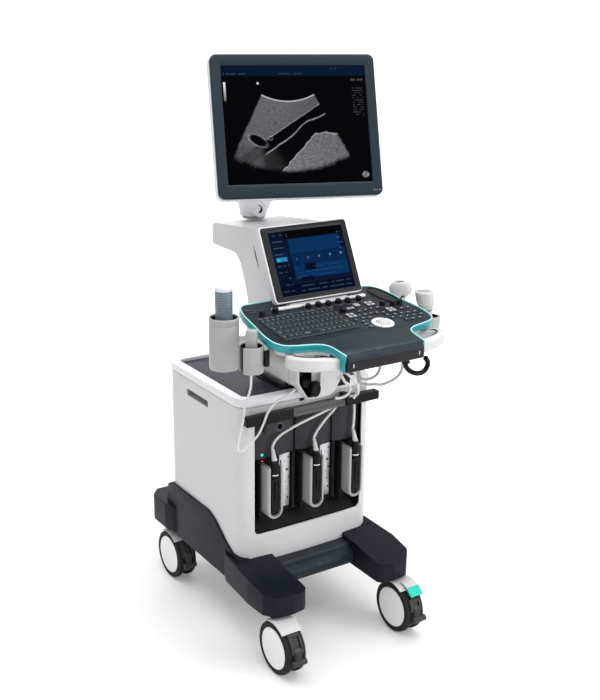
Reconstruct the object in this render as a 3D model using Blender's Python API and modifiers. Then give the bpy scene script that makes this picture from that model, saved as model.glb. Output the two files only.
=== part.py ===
# Ultrasound machine on a four-caster cart: base, electronics cabinet with a
# connector bay, lifting and swivelling console, tilting touch panel and a
# monitor on a jointed arm.  Metres, +Z up, -Y is the operator's side (front),
# +X is the operator's right.  The finished model stands on z = 0, centred in x and y.
import math
import bpy
import bmesh
from mathutils import Matrix, Vector

GAP = 0.0003                 # gap left between neighbouring pieces
X_AXIS, Y_AXIS, Z_AXIS = (1, 0, 0), (0, 1, 0), (0, 0, 1)
IDENTITY = Matrix()
# Placing matrices for flat outlines
SIDE = Matrix(((0, 0, 1, 0), (1, 0, 0, 0), (0, 1, 0, 0), (0, 0, 0, 1)))    # (y, z), thick in x
FRONT = Matrix(((1, 0, 0, 0), (0, 0, -1, 0), (0, 1, 0, 0), (0, 0, 0, 1)))  # (x, z), thick in -y

for old in list(bpy.data.objects):
    bpy.data.objects.remove(old, do_unlink=True)
parts = bpy.data.collections.new("ultrasound_machine")
tools = bpy.data.collections.new("cutters")
for group in (parts, tools):
    bpy.context.scene.collection.children.link(group)


# ----------------------------------------------------------------- materials
def material(name, colour, roughness, metallic=0.0):
    made = bpy.data.materials.new(name)
    made.use_nodes = True
    shader = made.node_tree.nodes["Principled BSDF"]
    shader.inputs["Base Color"].default_value = (*colour, 1.0)
    shader.inputs["Roughness"].default_value = roughness
    shader.inputs["Metallic"].default_value = metallic
    return made


WHITE = material("white_plastic", colour=(0.80, 0.80, 0.80), roughness=0.35)
GLOSS = material("gloss_white", colour=(0.86, 0.86, 0.88), roughness=0.15)
NAVY = material("base_navy", colour=(0.020, 0.030, 0.045), roughness=0.45)
SLATE = material("console_slate", colour=(0.035, 0.052, 0.066), roughness=0.45)
INLAY = material("top_inlay_slate", colour=(0.060, 0.065, 0.095), roughness=0.50)
TEAL = material("teal_trim", colour=(0.0, 0.30, 0.34), roughness=0.30)
DARK = material("dark_plastic", colour=(0.015, 0.015, 0.017), roughness=0.50)
GREY = material("grey_plastic", colour=(0.32, 0.32, 0.33), roughness=0.45)
STEEL = material("steel", colour=(0.55, 0.56, 0.58), roughness=0.30, metallic=1.0)
BEZEL = material("bezel_slate", colour=(0.048, 0.072, 0.085), roughness=0.35)
SCREEN = material("screen_glass", colour=(0.005, 0.006, 0.008), roughness=0.08)
TYRE = material("tyre_grey", colour=(0.045, 0.045, 0.043), roughness=0.75)
PEDAL = material("pedal_turquoise", colour=(0.01, 0.62, 0.50), roughness=0.35)
BOARD = material("module_grey", colour=(0.10, 0.11, 0.12), roughness=0.50, metallic=0.4)
BOTTLE = material("bottle_blue", colour=(0.20, 0.30, 0.38), roughness=0.35)
PROBE = material("probe_white", colour=(0.78, 0.78, 0.76), roughness=0.30)


# ----------------------------------------------------------------- solids
def add_object(data):
    piece = bpy.data.objects.new("solid", data)
    tools.objects.link(piece)
    return piece


def evaluated_mesh(piece):
    bpy.context.view_layer.update()
    graph = bpy.context.evaluated_depsgraph_get()
    return bpy.data.meshes.new_from_object(piece.evaluated_get(graph))


def take_shape(piece, merge):
    """Turn an object into a bmesh of its evaluated surface and remove it."""
    mesh = evaluated_mesh(piece)
    bpy.data.objects.remove(piece, do_unlink=True)
    shape = bmesh.new()
    shape.from_mesh(mesh)
    bpy.data.meshes.remove(mesh)
    bmesh.ops.remove_doubles(shape, verts=shape.verts, dist=merge)
    return shape


def solid(shape, matrix=IDENTITY):
    bmesh.ops.remove_doubles(shape, verts=shape.verts, dist=1e-6)
    bmesh.ops.transform(shape, matrix=matrix, verts=shape.verts)
    bmesh.ops.recalc_face_normals(shape, faces=shape.faces)
    mesh = bpy.data.meshes.new("solid")
    shape.to_mesh(mesh)
    shape.free()
    return add_object(mesh)


def sharp_bevel(shape, width, segments):
    """Bevel every edge that turns by more than 30 degrees."""
    bmesh.ops.dissolve_limit(shape, angle_limit=math.radians(1.0), verts=shape.verts,
                             edges=shape.edges)
    edges = [edge for edge in shape.edges
             if edge.is_manifold and edge.calc_face_angle(0) > math.radians(30.0)]
    bmesh.ops.bevel(shape, geom=edges, offset=width, segments=segments, profile=0.5,
                    affect='EDGES', clamp_overlap=True)


def at(x=0.0, y=0.0, z=0.0):
    return Matrix.Translation((x, y, z))


def box(low, high, bevel=0.0, segments=1, matrix=IDENTITY):
    shape = bmesh.new()
    bmesh.ops.create_cube(shape, size=1.0)
    centre = [(a + b) / 2 for a, b in zip(low, high)]
    size = [b - a for a, b in zip(low, high)]
    bmesh.ops.transform(shape, matrix=at(*centre) @ Matrix.Diagonal((*size, 1.0)),
                        verts=shape.verts)
    if bevel:
        sharp_bevel(shape, bevel, segments)
    return solid(shape, matrix)


def cylinder(radius, length, centre, axis=Z_AXIS, sides=20, top_radius=None, bevel=0.0,
             matrix=IDENTITY):
    shape = bmesh.new()
    bmesh.ops.create_cone(shape, cap_ends=True, segments=sides, radius1=radius,
                          radius2=radius if top_radius is None else top_radius, depth=length)
    if bevel:
        rim = [edge for edge in shape.edges
               if abs(edge.verts[0].co.z - edge.verts[1].co.z) < 1e-9]
        bmesh.ops.bevel(shape, geom=rim, offset=bevel, segments=1, profile=0.5, affect='EDGES')
    turn = Vector(Z_AXIS).rotation_difference(Vector(axis)).to_matrix().to_4x4()
    return solid(shape, matrix @ (Matrix.Translation(centre) @ turn))


def ball(radius, centre, around, matrix=IDENTITY):
    shape = bmesh.new()
    bmesh.ops.create_uvsphere(shape, u_segments=around, v_segments=8, radius=radius)
    return solid(shape, matrix @ Matrix.Translation(centre))


def poly_curve(points, dimensions):
    curve = bpy.data.curves.new("outline", 'CURVE')
    curve.dimensions = dimensions
    spline = curve.splines.new('POLY')
    spline.points.add(len(points) - 1)
    for knot, point in zip(spline.points, points):
        knot.co = (*point, 1.0)
    return curve


def prism(outline, depth, matrix=IDENTITY, bevel=0.0, segments=1):
    """Flat outline in local XY, thickened by depth about z = 0."""
    curve = poly_curve([(x, y, 0.0) for x, y in outline], '2D')
    curve.fill_mode = 'BOTH'
    curve.extrude = depth / 2
    curve.splines[0].use_cyclic_u = True
    shape = take_shape(add_object(curve), 1e-5)
    if bevel:
        sharp_bevel(shape, bevel, segments)
    return solid(shape, matrix)


def upright(outline, bottom, height, bevel=0.0, segments=1):
    """Plan outline raised from z = bottom."""
    return prism(outline, height, at(z=bottom + height / 2), bevel, segments)


def wire(points, radius, resolution):
    curve = poly_curve(points, '3D')
    curve.bevel_depth = radius
    curve.bevel_resolution = resolution
    curve.use_fill_caps = True
    return solid(take_shape(add_object(curve), 1e-5))


def lathe(profile, steps, matrix):
    """Turned body; profile is (radius, z), up from the axis and back to it, or a closed loop."""
    mesh = bpy.data.meshes.new("profile")
    points = [(radius, 0.0, z) for radius, z in reversed(profile)]
    mesh.from_pydata(points, [(i, i + 1) for i in range(len(points) - 1)], [])
    piece = add_object(mesh)
    screw = piece.modifiers.new("turn", 'SCREW')
    screw.axis = 'Z'
    screw.angle = math.tau
    screw.steps = screw.render_steps = steps
    screw.use_merge_vertices = True
    screw.merge_threshold = 1e-5
    return solid(take_shape(piece, 1e-6), matrix)


def loft(rings):
    """Closed body through rings that hold the same number of points."""
    shape = bmesh.new()
    rows = [[shape.verts.new(point) for point in ring] for ring in rings]
    count = len(rows[0])
    for low, high in zip(rows, rows[1:]):
        for i in range(count):
            j = (i + 1) % count
            shape.faces.new((low[i], low[j], high[j], high[i]))
    shape.faces.new(rows[0])
    shape.faces.new(rows[-1])
    return solid(shape)


def combine(base, others, operation):
    for other in others:
        step = base.modifiers.new("b", 'BOOLEAN')
        step.operation = operation
        step.solver = 'EXACT'
        step.object = other
    mesh = evaluated_mesh(base)
    base.modifiers.clear()
    base.data = mesh
    for other in others:
        bpy.data.objects.remove(other, do_unlink=True)
    return base


def union(base, *others):
    return combine(base, others, 'UNION')


def cut(base, *others):
    return combine(base, others, 'DIFFERENCE')


def tidy(mesh):
    """Merge the near-coincident points and slivers that cutting leaves."""
    shape = bmesh.new()
    shape.from_mesh(mesh)
    bmesh.ops.remove_doubles(shape, verts=shape.verts, dist=2e-6)
    bmesh.ops.dissolve_degenerate(shape, edges=shape.edges, dist=2e-6)
    shape.to_mesh(mesh)
    shape.free()


def part(name, piece, finish, origin=(0.0, 0.0, 0.0), smooth=30.0):
    """Finish a solid as a named piece; a moving piece has its origin on its joint."""
    mesh = piece.data
    tidy(mesh)
    mesh.transform(Matrix.Translation([-c for c in origin]))
    piece.location = origin
    piece.name = name
    mesh.name = name
    mesh.materials.clear()
    mesh.materials.append(finish)
    mesh.shade_smooth()
    mesh.set_sharp_from_angle(angle=math.radians(smooth))
    tools.objects.unlink(piece)
    parts.objects.link(piece)


# ----------------------------------------------------------------- outlines
def mirror_x(points):
    return [(-x, y) for x, y in points]


def offset(points, distance):
    """Closed counter-clockwise outline moved outward by distance."""
    moved = []
    for i in range(len(points)):
        before, here = Vector(points[i - 1]), Vector(points[i])
        after = Vector(points[(i + 1) % len(points)])
        edge_in, edge_out = (here - before).normalized(), (after - here).normalized()
        normal_in = Vector((edge_in.y, -edge_in.x))
        normal_out = Vector((edge_out.y, -edge_out.x))
        mitre = (normal_in + normal_out).normalized()
        moved.append(tuple(here + mitre * (distance / max(mitre.dot(normal_in), 0.5))))
    return moved


def rounded_rect(left, low, right, high, radius, steps, bow=0.0, bow_steps=0):
    """Counter-clockwise rectangle; the low side can bow outward."""
    points = []
    for x, y, start in ((right - radius, low + radius, -90), (right - radius, high - radius, 0),
                        (left + radius, high - radius, 90), (left + radius, low + radius, 180)):
        for k in range(steps + 1):
            angle = math.radians(start + 90.0 * k / steps)
            points.append((x + radius * math.cos(angle), y + radius * math.sin(angle)))
    half = (right - left) / 2 - radius
    for k in range(1, bow_steps):
        x = -half + 2 * half * k / bow_steps
        points.append((x + (left + right) / 2, low - bow * (1 - (x / half) ** 2)))
    return points


def centred_rect(half_x, half_y, radius):
    return rounded_rect(-half_x, -half_y, half_x, half_y, radius, 3)


CAB_X, CAB_Y0, CAB_Y1 = 0.212, -0.120, 0.292    # cabinet half width, front and back
CAB_Z0, CAB_Z1 = 0.222, 0.668
CAB_LINE = rounded_rect(-CAB_X, CAB_Y0, CAB_X, CAB_Y1, radius=0.040, steps=5,
                        bow=0.006, bow_steps=8)

# ----------------------------------------------------------------- base frame
SKIRT_Z = 0.158              # underside of the skirt
CASTER_X = 0.1925
STEM_FRONT_Y, STEM_REAR_Y = -0.265, 0.331
STEM_R, STEM_BORE_R = 0.0110, 0.0119

SKIRT = [(-0.1185, SKIRT_Z), (0.335, SKIRT_Z), (0.335, 0.270), (0.300, 0.300),    # (y, z)
         (0.270, 0.320), (0.050, 0.320), (0.012, 0.306), (-0.017, 0.286), (-0.045, 0.266),
         (-0.080, 0.249), (-0.1185, 0.240)]
# Right-hand feet, (x, y)
FRONT_FOOT = [(0.1165, -0.105), (0.1165, -0.262), (0.140, -0.298), (0.205, -0.306),
              (0.238, -0.272), (0.2405, -0.200), (0.2185, -0.105)]
REAR_FOOT = [(0.120, 0.300), (0.2185, 0.225), (0.238, 0.290), (0.238, 0.370), (0.212, 0.402),
             (0.145, 0.402), (0.120, 0.385)]
CROSS_BAR = [(-0.1805, 0.178), (-0.176, 0.168), (-0.166, 0.160), (-0.1190, 0.160),    # (y, z)
             (-0.1190, 0.2210), (-0.1560, 0.2210), (-0.1600, 0.214), (-0.170, 0.209),
             (-0.178, 0.200), (-0.1815, 0.189)]


def base_frame():
    feet = []
    for front, rear in ((FRONT_FOOT, REAR_FOOT), (mirror_x(FRONT_FOOT), mirror_x(REAR_FOOT))):
        feet.append(upright(front, bottom=0.1577, height=0.0793, bevel=0.006))
        feet.append(upright(rear, bottom=0.1584, height=0.1036, bevel=0.006))
    base = union(prism(SKIRT, 0.437, SIDE, bevel=0.002), *feet)
    seat = upright(offset(CAB_LINE, GAP), bottom=CAB_Z0 - GAP, height=0.2)
    bores = [cylinder(STEM_BORE_R, 0.090, (x, y, SKIRT_Z - 0.003), sides=16)
             for x in (-CASTER_X, CASTER_X) for y in (STEM_FRONT_Y, STEM_REAR_Y)]
    part("base_frame", cut(base, seat, *bores), NAVY)


def base_plates():
    between_feet = 2 * (FRONT_FOOT[0][0] - GAP)
    part("base_cross_bar", prism(CROSS_BAR, between_feet, SIDE), SLATE)
    part("belly_plate", box((-0.100, -0.090, 0.150), (0.100, 0.270, SKIRT_Z - GAP), 0.002), DARK)


# ----------------------------------------------------------------- casters
WHEEL_R = 0.0716             # apothem of the wheel's rim, so it stands flat
WHEEL_SIDES = 20
WHEEL_IN, WHEEL_OUT = 0.011, 0.029   # inner and outer face of each disc
TRAIL = 0.033                # wheel axis ahead of the stem
AXLE_R, AXLE_BORE_R = 0.0060, 0.0069
HOOD_R = 0.0738
# Cylinders stacked on the stem's axis: radius, length, centre z, sides
STEM = ((0.0088, 0.050, 0.1200, 10), (0.0190, 0.0127, 0.15085, 14), (STEM_R, 0.045, 0.1725, 12))


def caster_fork(tag, x, stem_y):
    wheel_y, wheel_z = stem_y - TRAIL, WHEEL_R
    hood = []
    for k in range(9):
        angle = math.radians(8 + 157 * k / 8)
        hood.append((wheel_y + HOOD_R * math.cos(angle), wheel_z + HOOD_R * math.sin(angle)))
    # lower edge, (y, z) from the wheel's centre
    low = [(-0.060, -0.012), (-0.062, -0.034), (-0.040, -0.040), (0, -0.022), (0.034, -0.018)]
    outline = hood + [(wheel_y + y, wheel_z + z) for y, z in low]
    fork = union(prism(outline, 0.019, SIDE @ at(z=x)),
                 *[cylinder(radius, length, (x, stem_y, z), sides=sides)
                   for radius, length, z, sides in STEM])
    fork = cut(fork, cylinder(AXLE_BORE_R, 0.06, (x, wheel_y, wheel_z), X_AXIS, sides=14))
    part("caster_fork_" + tag, fork, GREY, (x, stem_y, wheel_z))


def wheel_pair(tag, x, stem_y):
    """Two discs and their axle in one turned body."""
    centre = (x, stem_y - TRAIL, WHEEL_R)
    rim = WHEEL_R / math.cos(math.pi / WHEEL_SIDES)
    half = [(0.0, WHEEL_OUT), (rim - 0.0050, WHEEL_OUT), (rim, WHEEL_OUT - 0.0060),
            (rim, WHEEL_IN), (AXLE_R, WHEEL_IN)]
    profile = [(radius, -z) for radius, z in half] + half[::-1]
    # half a side's turn puts a flat of the rim on the floor
    place = (at(*centre) @ Matrix.Rotation(math.radians(90), 4, 'Y')
             @ Matrix.Rotation(math.pi / WHEEL_SIDES, 4, 'Z'))
    part("wheel_pair_" + tag, lathe(profile, WHEEL_SIDES, place), TYRE, centre, smooth=40)


def brake_pedal(x, stem_y):
    wheel_y = stem_y - TRAIL
    hinge_y, hinge_z = wheel_y - 0.020, 0.1487
    pad = prism([(hinge_y, hinge_z - 0.0028), (hinge_y, hinge_z + 0.0028),
                 (wheel_y - 0.050, 0.1440), (wheel_y - 0.0760, 0.1330),
                 (wheel_y - 0.0770, 0.1290), (wheel_y - 0.0740, 0.1275),
                 (wheel_y - 0.049, 0.1385)], 0.046, SIDE @ at(z=x), bevel=0.0010)
    pad = union(pad, cylinder(0.0036, 0.030, (x, hinge_y, hinge_z), X_AXIS, sides=14))
    part("brake_pedal", pad, PEDAL, (x, hinge_y, hinge_z))


def casters():
    for end, stem_y in (("front", STEM_FRONT_Y), ("rear", STEM_REAR_Y)):
        for hand, x in (("left", -CASTER_X), ("right", CASTER_X)):
            caster_fork(end + "_" + hand, x, stem_y)
            wheel_pair(end + "_" + hand, x, stem_y)
    brake_pedal(CASTER_X, STEM_FRONT_Y)


# ----------------------------------------------------------------- cabinet
WALL = 0.006
BAY_X0, BAY_X1, BAY_Z0, BAY_Z1 = -0.170, 0.175, 0.303, 0.625
BAY_BACK, BAY_FRONT = -0.0770, -0.1100
REAR_X, REAR_Z0, REAR_Z1 = 0.170, 0.235, 0.655      # rear panel
FAN_X, FAN_Y, FAN_Z = -0.095, 0.266, 0.520
RIM_W = 0.0240               # inset of the top rim's hole
COLUMN_X, COLUMN_Y = 0.0550, 0.0700                 # half size of the outer column
COLUMN_WALL = 0.0075

CONNECTOR_X = (-0.116, 0.016, 0.142)
CONNECTOR_HALF, CONNECTOR_Z0, CONNECTOR_Z1 = 0.0235, 0.347, 0.497
CABLE_RAIL = [(-0.2105, 0.628), (-0.2105, 0.654), (0.2105, 0.654), (0.2105, 0.628),    # (x, z)
              (0.165, 0.626), (0.120, 0.612), (-0.080, 0.612), (-0.120, 0.626)]


def cabinet_shell():
    """Wall open at top and bottom, with a front bay, a rear opening and a left side slot."""
    shell = upright(CAB_LINE, CAB_Z0, CAB_Z1 - CAB_Z0)
    inside = prism(offset(CAB_LINE, -WALL), 0.6, at(z=(CAB_Z0 + CAB_Z1) / 2))
    bay = prism(rounded_rect(BAY_X0, BAY_Z0, BAY_X1, BAY_Z1, 0.016, 4), 0.06, FRONT @ at(z=0.125))
    rear = box((-REAR_X - GAP, 0.270, REAR_Z0 - GAP), (REAR_X + GAP, 0.310, REAR_Z1 + GAP))
    slot = box((-0.230, 0.052, 0.620), (-0.190, 0.173, 0.640), 0.003)
    part("cabinet_shell", cut(shell, inside, bay, rear, slot), WHITE)


def rear_panel():
    panel = box((-REAR_X, 0.2845, REAR_Z0), (REAR_X, 0.2910, REAR_Z1), 0.001)
    vents = [box((0.020, 0.28, 0.440 + 0.022 * k), (0.160, 0.30, 0.448 + 0.022 * k))
             for k in range(7)]
    panel = cut(panel, cylinder(0.046, 0.04, (FAN_X, 0.288, FAN_Z), Y_AXIS, sides=28), *vents)
    inlet = cut(box((0.085, 0.2760, 0.270), (0.125, 0.2915, 0.300)),
                box((0.090, 0.2800, 0.274), (0.120, 0.2950, 0.296)))
    # the hole is smaller than the inlet, so the two join
    panel = cut(panel, box((0.0855, 0.27, 0.2705), (0.1245, 0.30, 0.2995)))
    part("rear_panel", union(panel, inlet), GREY)


def cabinet_top():
    bottom = CAB_Z1 + GAP
    rim = cut(upright(offset(CAB_LINE, 0.0025), bottom, 0.0235, bevel=0.005, segments=2),
              prism(offset(CAB_LINE, -RIM_W), 0.08, at(z=CAB_Z1)))
    part("top_rim", rim, GLOSS)
    hole_x, hole_y = COLUMN_X + 0.0015, COLUMN_Y + 0.0015
    inlay = cut(upright(offset(CAB_LINE, -RIM_W - GAP), bottom, 0.0155),
                box((-hole_x, -hole_y, 0.60), (hole_x, hole_y, 0.75)))
    part("top_inlay", inlay, INLAY)


def connector_bay():
    """Open box behind the front opening, its floor sloping to the lip."""
    liner = box((BAY_X0 - 0.009, BAY_FRONT, BAY_Z0 - 0.010),
                (BAY_X1 + 0.009, BAY_BACK, BAY_Z1 + 0.010))
    hollow = prism([(BAY_FRONT - 0.05, BAY_Z0 - 0.012), (BAY_FRONT - 0.001, BAY_Z0 - 0.002),
                    (-0.0810, 0.3340), (-0.0810, BAY_Z1 + 0.004),
                    (BAY_FRONT - 0.05, BAY_Z1 + 0.004)],
                   BAY_X1 - BAY_X0 + 0.010, SIDE @ at(z=(BAY_X0 + BAY_X1) / 2))
    liner = cut(liner, hollow)
    liner = union(liner,
                  # pads between the connectors
                  box((-0.081, -0.0920, 0.370), (-0.060, -0.0790, 0.507)),
                  box((0.051, -0.0920, 0.370), (0.083, -0.0790, 0.507)),
                  # upright ribs
                  box((-0.052, -0.1050, 0.340), (-0.044, -0.0790, 0.600)),
                  box((0.088, -0.1050, 0.340), (0.096, -0.0790, 0.600)))
    part("connector_bay_liner", liner, DARK)


def u_outline(centre_x, half, top, arc_z, steps):
    """Flat-topped outline that ends below in a half circle about arc_z."""
    angles = [math.pi + math.pi * k / steps for k in range(steps + 1)]
    return [(centre_x + half, top), (centre_x - half, top)] + [
        (centre_x + half * math.cos(a), arc_z + half * math.sin(a)) for a in angles]


def connector(number, x):
    arc_z = CONNECTOR_Z0 + CONNECTOR_HALF
    body = prism(u_outline(x, CONNECTOR_HALF, CONNECTOR_Z1, arc_z, 10), 0.0600,
                 FRONT @ at(z=0.1115), bevel=0.003)
    body = cut(body, prism(u_outline(x, 0.0155, CONNECTOR_Z1 + 0.02, arc_z, 8), 0.020,
                           FRONT @ at(z=0.1440)))
    body = union(body, cylinder(0.0120, 0.036, (x, -0.1180, 0.5060), sides=14, top_radius=0.0100))
    part("connector_%d" % number, body, GREY)

    latch_y, low = -0.1385, arc_z - 0.004
    outline = [(x + 0.0130, 0.4600), (x + 0.0110, 0.4640), (x - 0.0110, 0.4640),
               (x - 0.0130, 0.4600), (x - 0.0130, low), (x + 0.0130, low)]
    latch = prism(outline, 0.0060, FRONT @ at(z=-latch_y), bevel=0.0008)
    part("connector_latch_%d" % number, latch, DARK, (x, latch_y, arc_z - 0.002))


def connectors():
    for number, x in enumerate(CONNECTOR_X, 1):
        connector(number, x)
    part("cable_rail", prism(CABLE_RAIL, 0.0225, FRONT @ at(z=0.13925), bevel=0.003), DARK)


def cabinet_inside():
    part("electronics_module", box((-0.170, 0.095, 0.270), (0.170, 0.250, 0.620), 0.003), BOARD)
    part("power_supply", box((-0.170, -0.060, 0.260), (-0.075, 0.085, 0.560), 0.003), STEEL)


def fan_rotor():
    centre = (FAN_X, FAN_Y, FAN_Z)
    blade_x, blade_y, blade_z = 0.0145, 0.0010, 0.0110      # half sizes
    pitch = Matrix.Rotation(math.radians(32), 4, 'X')
    blades = []
    for k in range(5):
        place = at(*centre) @ Matrix.Rotation(math.tau * k / 5, 4, 'Y') @ at(0.0270) @ pitch
        blades.append(box((-blade_x, -blade_y, -blade_z), (blade_x, blade_y, blade_z),
                          matrix=place))
    hub = cylinder(0.0150, 0.0160, centre, Y_AXIS, sides=16)
    part("fan_rotor", union(hub, *blades), DARK, centre)


# ----------------------------------------------------------------- lift
def columns():
    bore = centred_rect(COLUMN_X - COLUMN_WALL, COLUMN_Y - COLUMN_WALL, 0.008)
    outer = cut(upright(centred_rect(COLUMN_X, COLUMN_Y, 0.012), 0.2225, 0.444),
                upright(bore, 0.2300, 0.6))
    part("column_outer", outer, GREY)
    part("column_inner", upright(centred_rect(0.0465, 0.0615, 0.008), 0.2500, 0.465), STEEL)


def support_arm():
    half_width, top = 0.0750, 0.8000
    knob_x, knob_z = -0.0420, 0.7250
    arm = box((-half_width, -0.1560, 0.7153), (half_width, 0.0850, top), 0.012, 2)
    apron = box((-half_width, -0.1740, 0.6780), (half_width, -0.1370, top), 0.012, 2)
    arm = cut(union(arm, apron), cylinder(0.0215, 0.040, (knob_x, -0.1740, knob_z), Y_AXIS))
    part("support_arm", arm, WHITE)
    knob = cylinder(0.0165, 0.0280, (knob_x, -0.1690, knob_z), Y_AXIS, sides=18, bevel=0.002)
    grip = box((knob_x - 0.0035, -0.1930, knob_z - 0.0150),
               (knob_x + 0.0035, -0.1800, knob_z + 0.0150), 0.002)
    part("arm_lock_knob", union(knob, grip), DARK, (knob_x, -0.1680, knob_z))


# ----------------------------------------------------------------- console
CONSOLE_TILT = math.radians(8.48)            # rear edge raised
CONSOLE_REF = (0.0, -0.127, 0.936)
DECK = Matrix.Translation(CONSOLE_REF) @ Matrix.Rotation(CONSOLE_TILT, 4, 'X')
PANEL_T = 0.012
TRAY_T = 0.0216
SWIVEL_AXIS = (0.0, -0.040)

KEYS_X0, KEYS_X1, KEYS_Y0, KEYS_Y1 = -0.205, 0.012, -0.322, -0.203
KNOB_R, KNOB_H = 0.0085, 0.0135
KNOBS = ((-0.047, -0.179), (-0.016, -0.177), (0.013, -0.180), (0.045, -0.178),    # plan (x, y)
         (0.072, -0.181), (0.107, -0.180), (0.023, -0.231), (0.148, -0.229))
BALL_R = 0.0190
BALL_POS = (0.082, -0.320)
BALL_Z = -0.0080             # centre, below the deck plane

# Right half of the panel's edge from rear to front, plan (x, y)
DECK_EDGE = ((0.190, -0.105), (0.204, -0.116), (0.2165, -0.150), (0.2215, -0.180),
             (0.227, -0.225), (0.233, -0.265), (0.2345, -0.295), (0.231, -0.321),
             (0.2185, -0.3395), (0.197, -0.3485), (0.172, -0.3545), (0.148, -0.3600),
             (0.129, -0.370), (0.1185, -0.3865), (0.1150, -0.410), (0.1130, -0.440))
PALM_REST = [(-0.300, 0.8450), (-0.441, 0.8450), (-0.4480, 0.8510), (-0.4480, 0.8730),  # (y, z)
             (-0.4440, 0.8820), (-0.4340, 0.8893), (-0.300, 0.9090)]
# Centre lines, (x, y, z)
HANDLE = ((0.134, -0.412, 0.836), (0.143, -0.411, 0.853), (0.155, -0.409, 0.860),
          (0.178, -0.403, 0.861), (0.206, -0.389, 0.861), (0.222, -0.366, 0.861),
          (0.225, -0.338, 0.860), (0.212, -0.314, 0.858), (0.186, -0.302, 0.857),
          (0.148, -0.299, 0.856))
HOOK = ((0.095, -0.400, 0.8272), (0.095, -0.400, 0.816), (0.109, -0.400, 0.802),
        (0.125, -0.400, 0.792), (0.142, -0.400, 0.789), (0.156, -0.400, 0.793),
        (0.164, -0.400, 0.803), (0.164, -0.400, 0.815), (0.157, -0.400, 0.8245))
TOWER = [(-0.0490, 1.106), (-0.0400, 1.112), (0.1950, 1.090), (0.2100, 1.083),    # (y, z)
         (0.2100, 1.037), (0.2050, 1.030), (0.0850, 1.028), (0.0620, 1.010), (0.0400, 0.966),
         (0.0220, 0.915), (0.0190, 0.8905), (-0.0955, 0.8905), (-0.0955, 0.9415),
         (-0.1280, 0.9415)]


def deck_point(x, y, z=0.0):
    """Deck coordinates of plan position (x, y), z above the deck plane."""
    return (x, (y - CONSOLE_REF[1]) / math.cos(CONSOLE_TILT), z)


def deck_outline():
    right = [deck_point(x, y)[:2] for x, y in DECK_EDGE]
    front_y = right[-1][1] - 0.004
    clockwise = right + [(0.060, front_y), (-0.060, front_y)] + mirror_x(right[::-1])
    return clockwise[::-1]


DECK_LINE = deck_outline()


def console_panel():
    panel = prism(DECK_LINE, PANEL_T, DECK @ at(z=-PANEL_T / 2))
    palm = prism(PALM_REST, 0.2240, SIDE)
    socket_r, well_h = BALL_R + 0.0012, 0.060
    socket = ball(socket_r, deck_point(*BALL_POS, BALL_Z), 16, matrix=DECK)
    well = cylinder(socket_r, well_h, deck_point(*BALL_POS, BALL_Z - well_h / 2), sides=16,
                    matrix=DECK)
    part("console_panel", cut(union(panel, palm), socket, well), SLATE)


def teal_trim():
    """Ring round the panel, open at the palm rest, with a short drop each side of it."""
    ring = cut(prism(offset(DECK_LINE, 0.0050), 0.0180, DECK @ at(z=-0.0100)),
               prism(offset(DECK_LINE, GAP), 0.06, DECK @ at(z=-0.010)),
               box((-0.1135, -0.46, 0.80), (0.1135, -0.40, 0.95)),
               box((-0.20, -0.47, 0.80), (0.20, -0.4403, 0.95)))
    drops = [box((left, -0.4390, 0.8460), (right, -0.4250, 0.8830))
             for left, right in ((0.1147, 0.1190), (-0.1190, -0.1147))]
    part("teal_trim", union(ring, *drops), TEAL)


def console_shell():
    tray = prism(offset(DECK_LINE, -0.0100), TRAY_T, DECK @ at(z=-PANEL_T - GAP - TRAY_T / 2))
    belly = box((-0.1550, -0.3350, 0.8300), (0.1550, -0.1000, 0.8830), 0.012, 2)
    rear = box((-0.1000, -0.1500, 0.8150), (0.1000, 0.0450, 0.8900), 0.010)
    swivel = cylinder(0.0550, 0.0300, (*SWIVEL_AXIS, 0.8153), sides=28)
    shell = union(tray, belly, rear, swivel)
    # room for the palm rest and the trackball well
    shell = cut(shell, box((-0.1125, -0.47, 0.8447), (0.1125, -0.2997, 0.930)),
                cylinder(BALL_R + 0.0035, 0.090, deck_point(*BALL_POS, -0.0300), matrix=DECK))
    plate = box((-0.1400, -0.4300, 0.8280), (0.1400, -0.3000, 0.8440), 0.004)
    handles = [wire([(side * x, y, z) for x, y, z in HANDLE], 0.0125, 1) for side in (1, -1)]
    part("console_shell", union(shell, plate, *handles), WHITE)
    part("bag_hook", wire(HOOK, 0.0062, 2), DARK)


def keyboard():
    """One block whose top is a grid of raised keys."""
    shape = bmesh.new()
    bmesh.ops.create_grid(shape, x_segments=11, y_segments=4, size=0.5)
    low, high = Vector(deck_point(KEYS_X0, KEYS_Y0)), Vector(deck_point(KEYS_X1, KEYS_Y1))
    place = at((low.x + high.x) / 2, (low.y + high.y) / 2, 0.0016)
    scale = Matrix.Diagonal((high.x - low.x, high.y - low.y, 1, 1))
    bmesh.ops.transform(shape, matrix=place @ scale, verts=shape.verts)
    keys = shape.faces[:]
    bmesh.ops.inset_individual(shape, faces=keys, thickness=0.0011)
    for vert in {vert for key in keys for vert in key.verts}:
        vert.co.z += 0.0022
    border = [edge for edge in shape.edges if edge.is_boundary]
    for item in bmesh.ops.extrude_edge_only(shape, edges=border)["geom"]:
        if isinstance(item, bmesh.types.BMVert):
            item.co.z = GAP
    bmesh.ops.holes_fill(shape, edges=[edge for edge in shape.edges if edge.is_boundary])
    part("keyboard", solid(shape, DECK), DARK)


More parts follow.
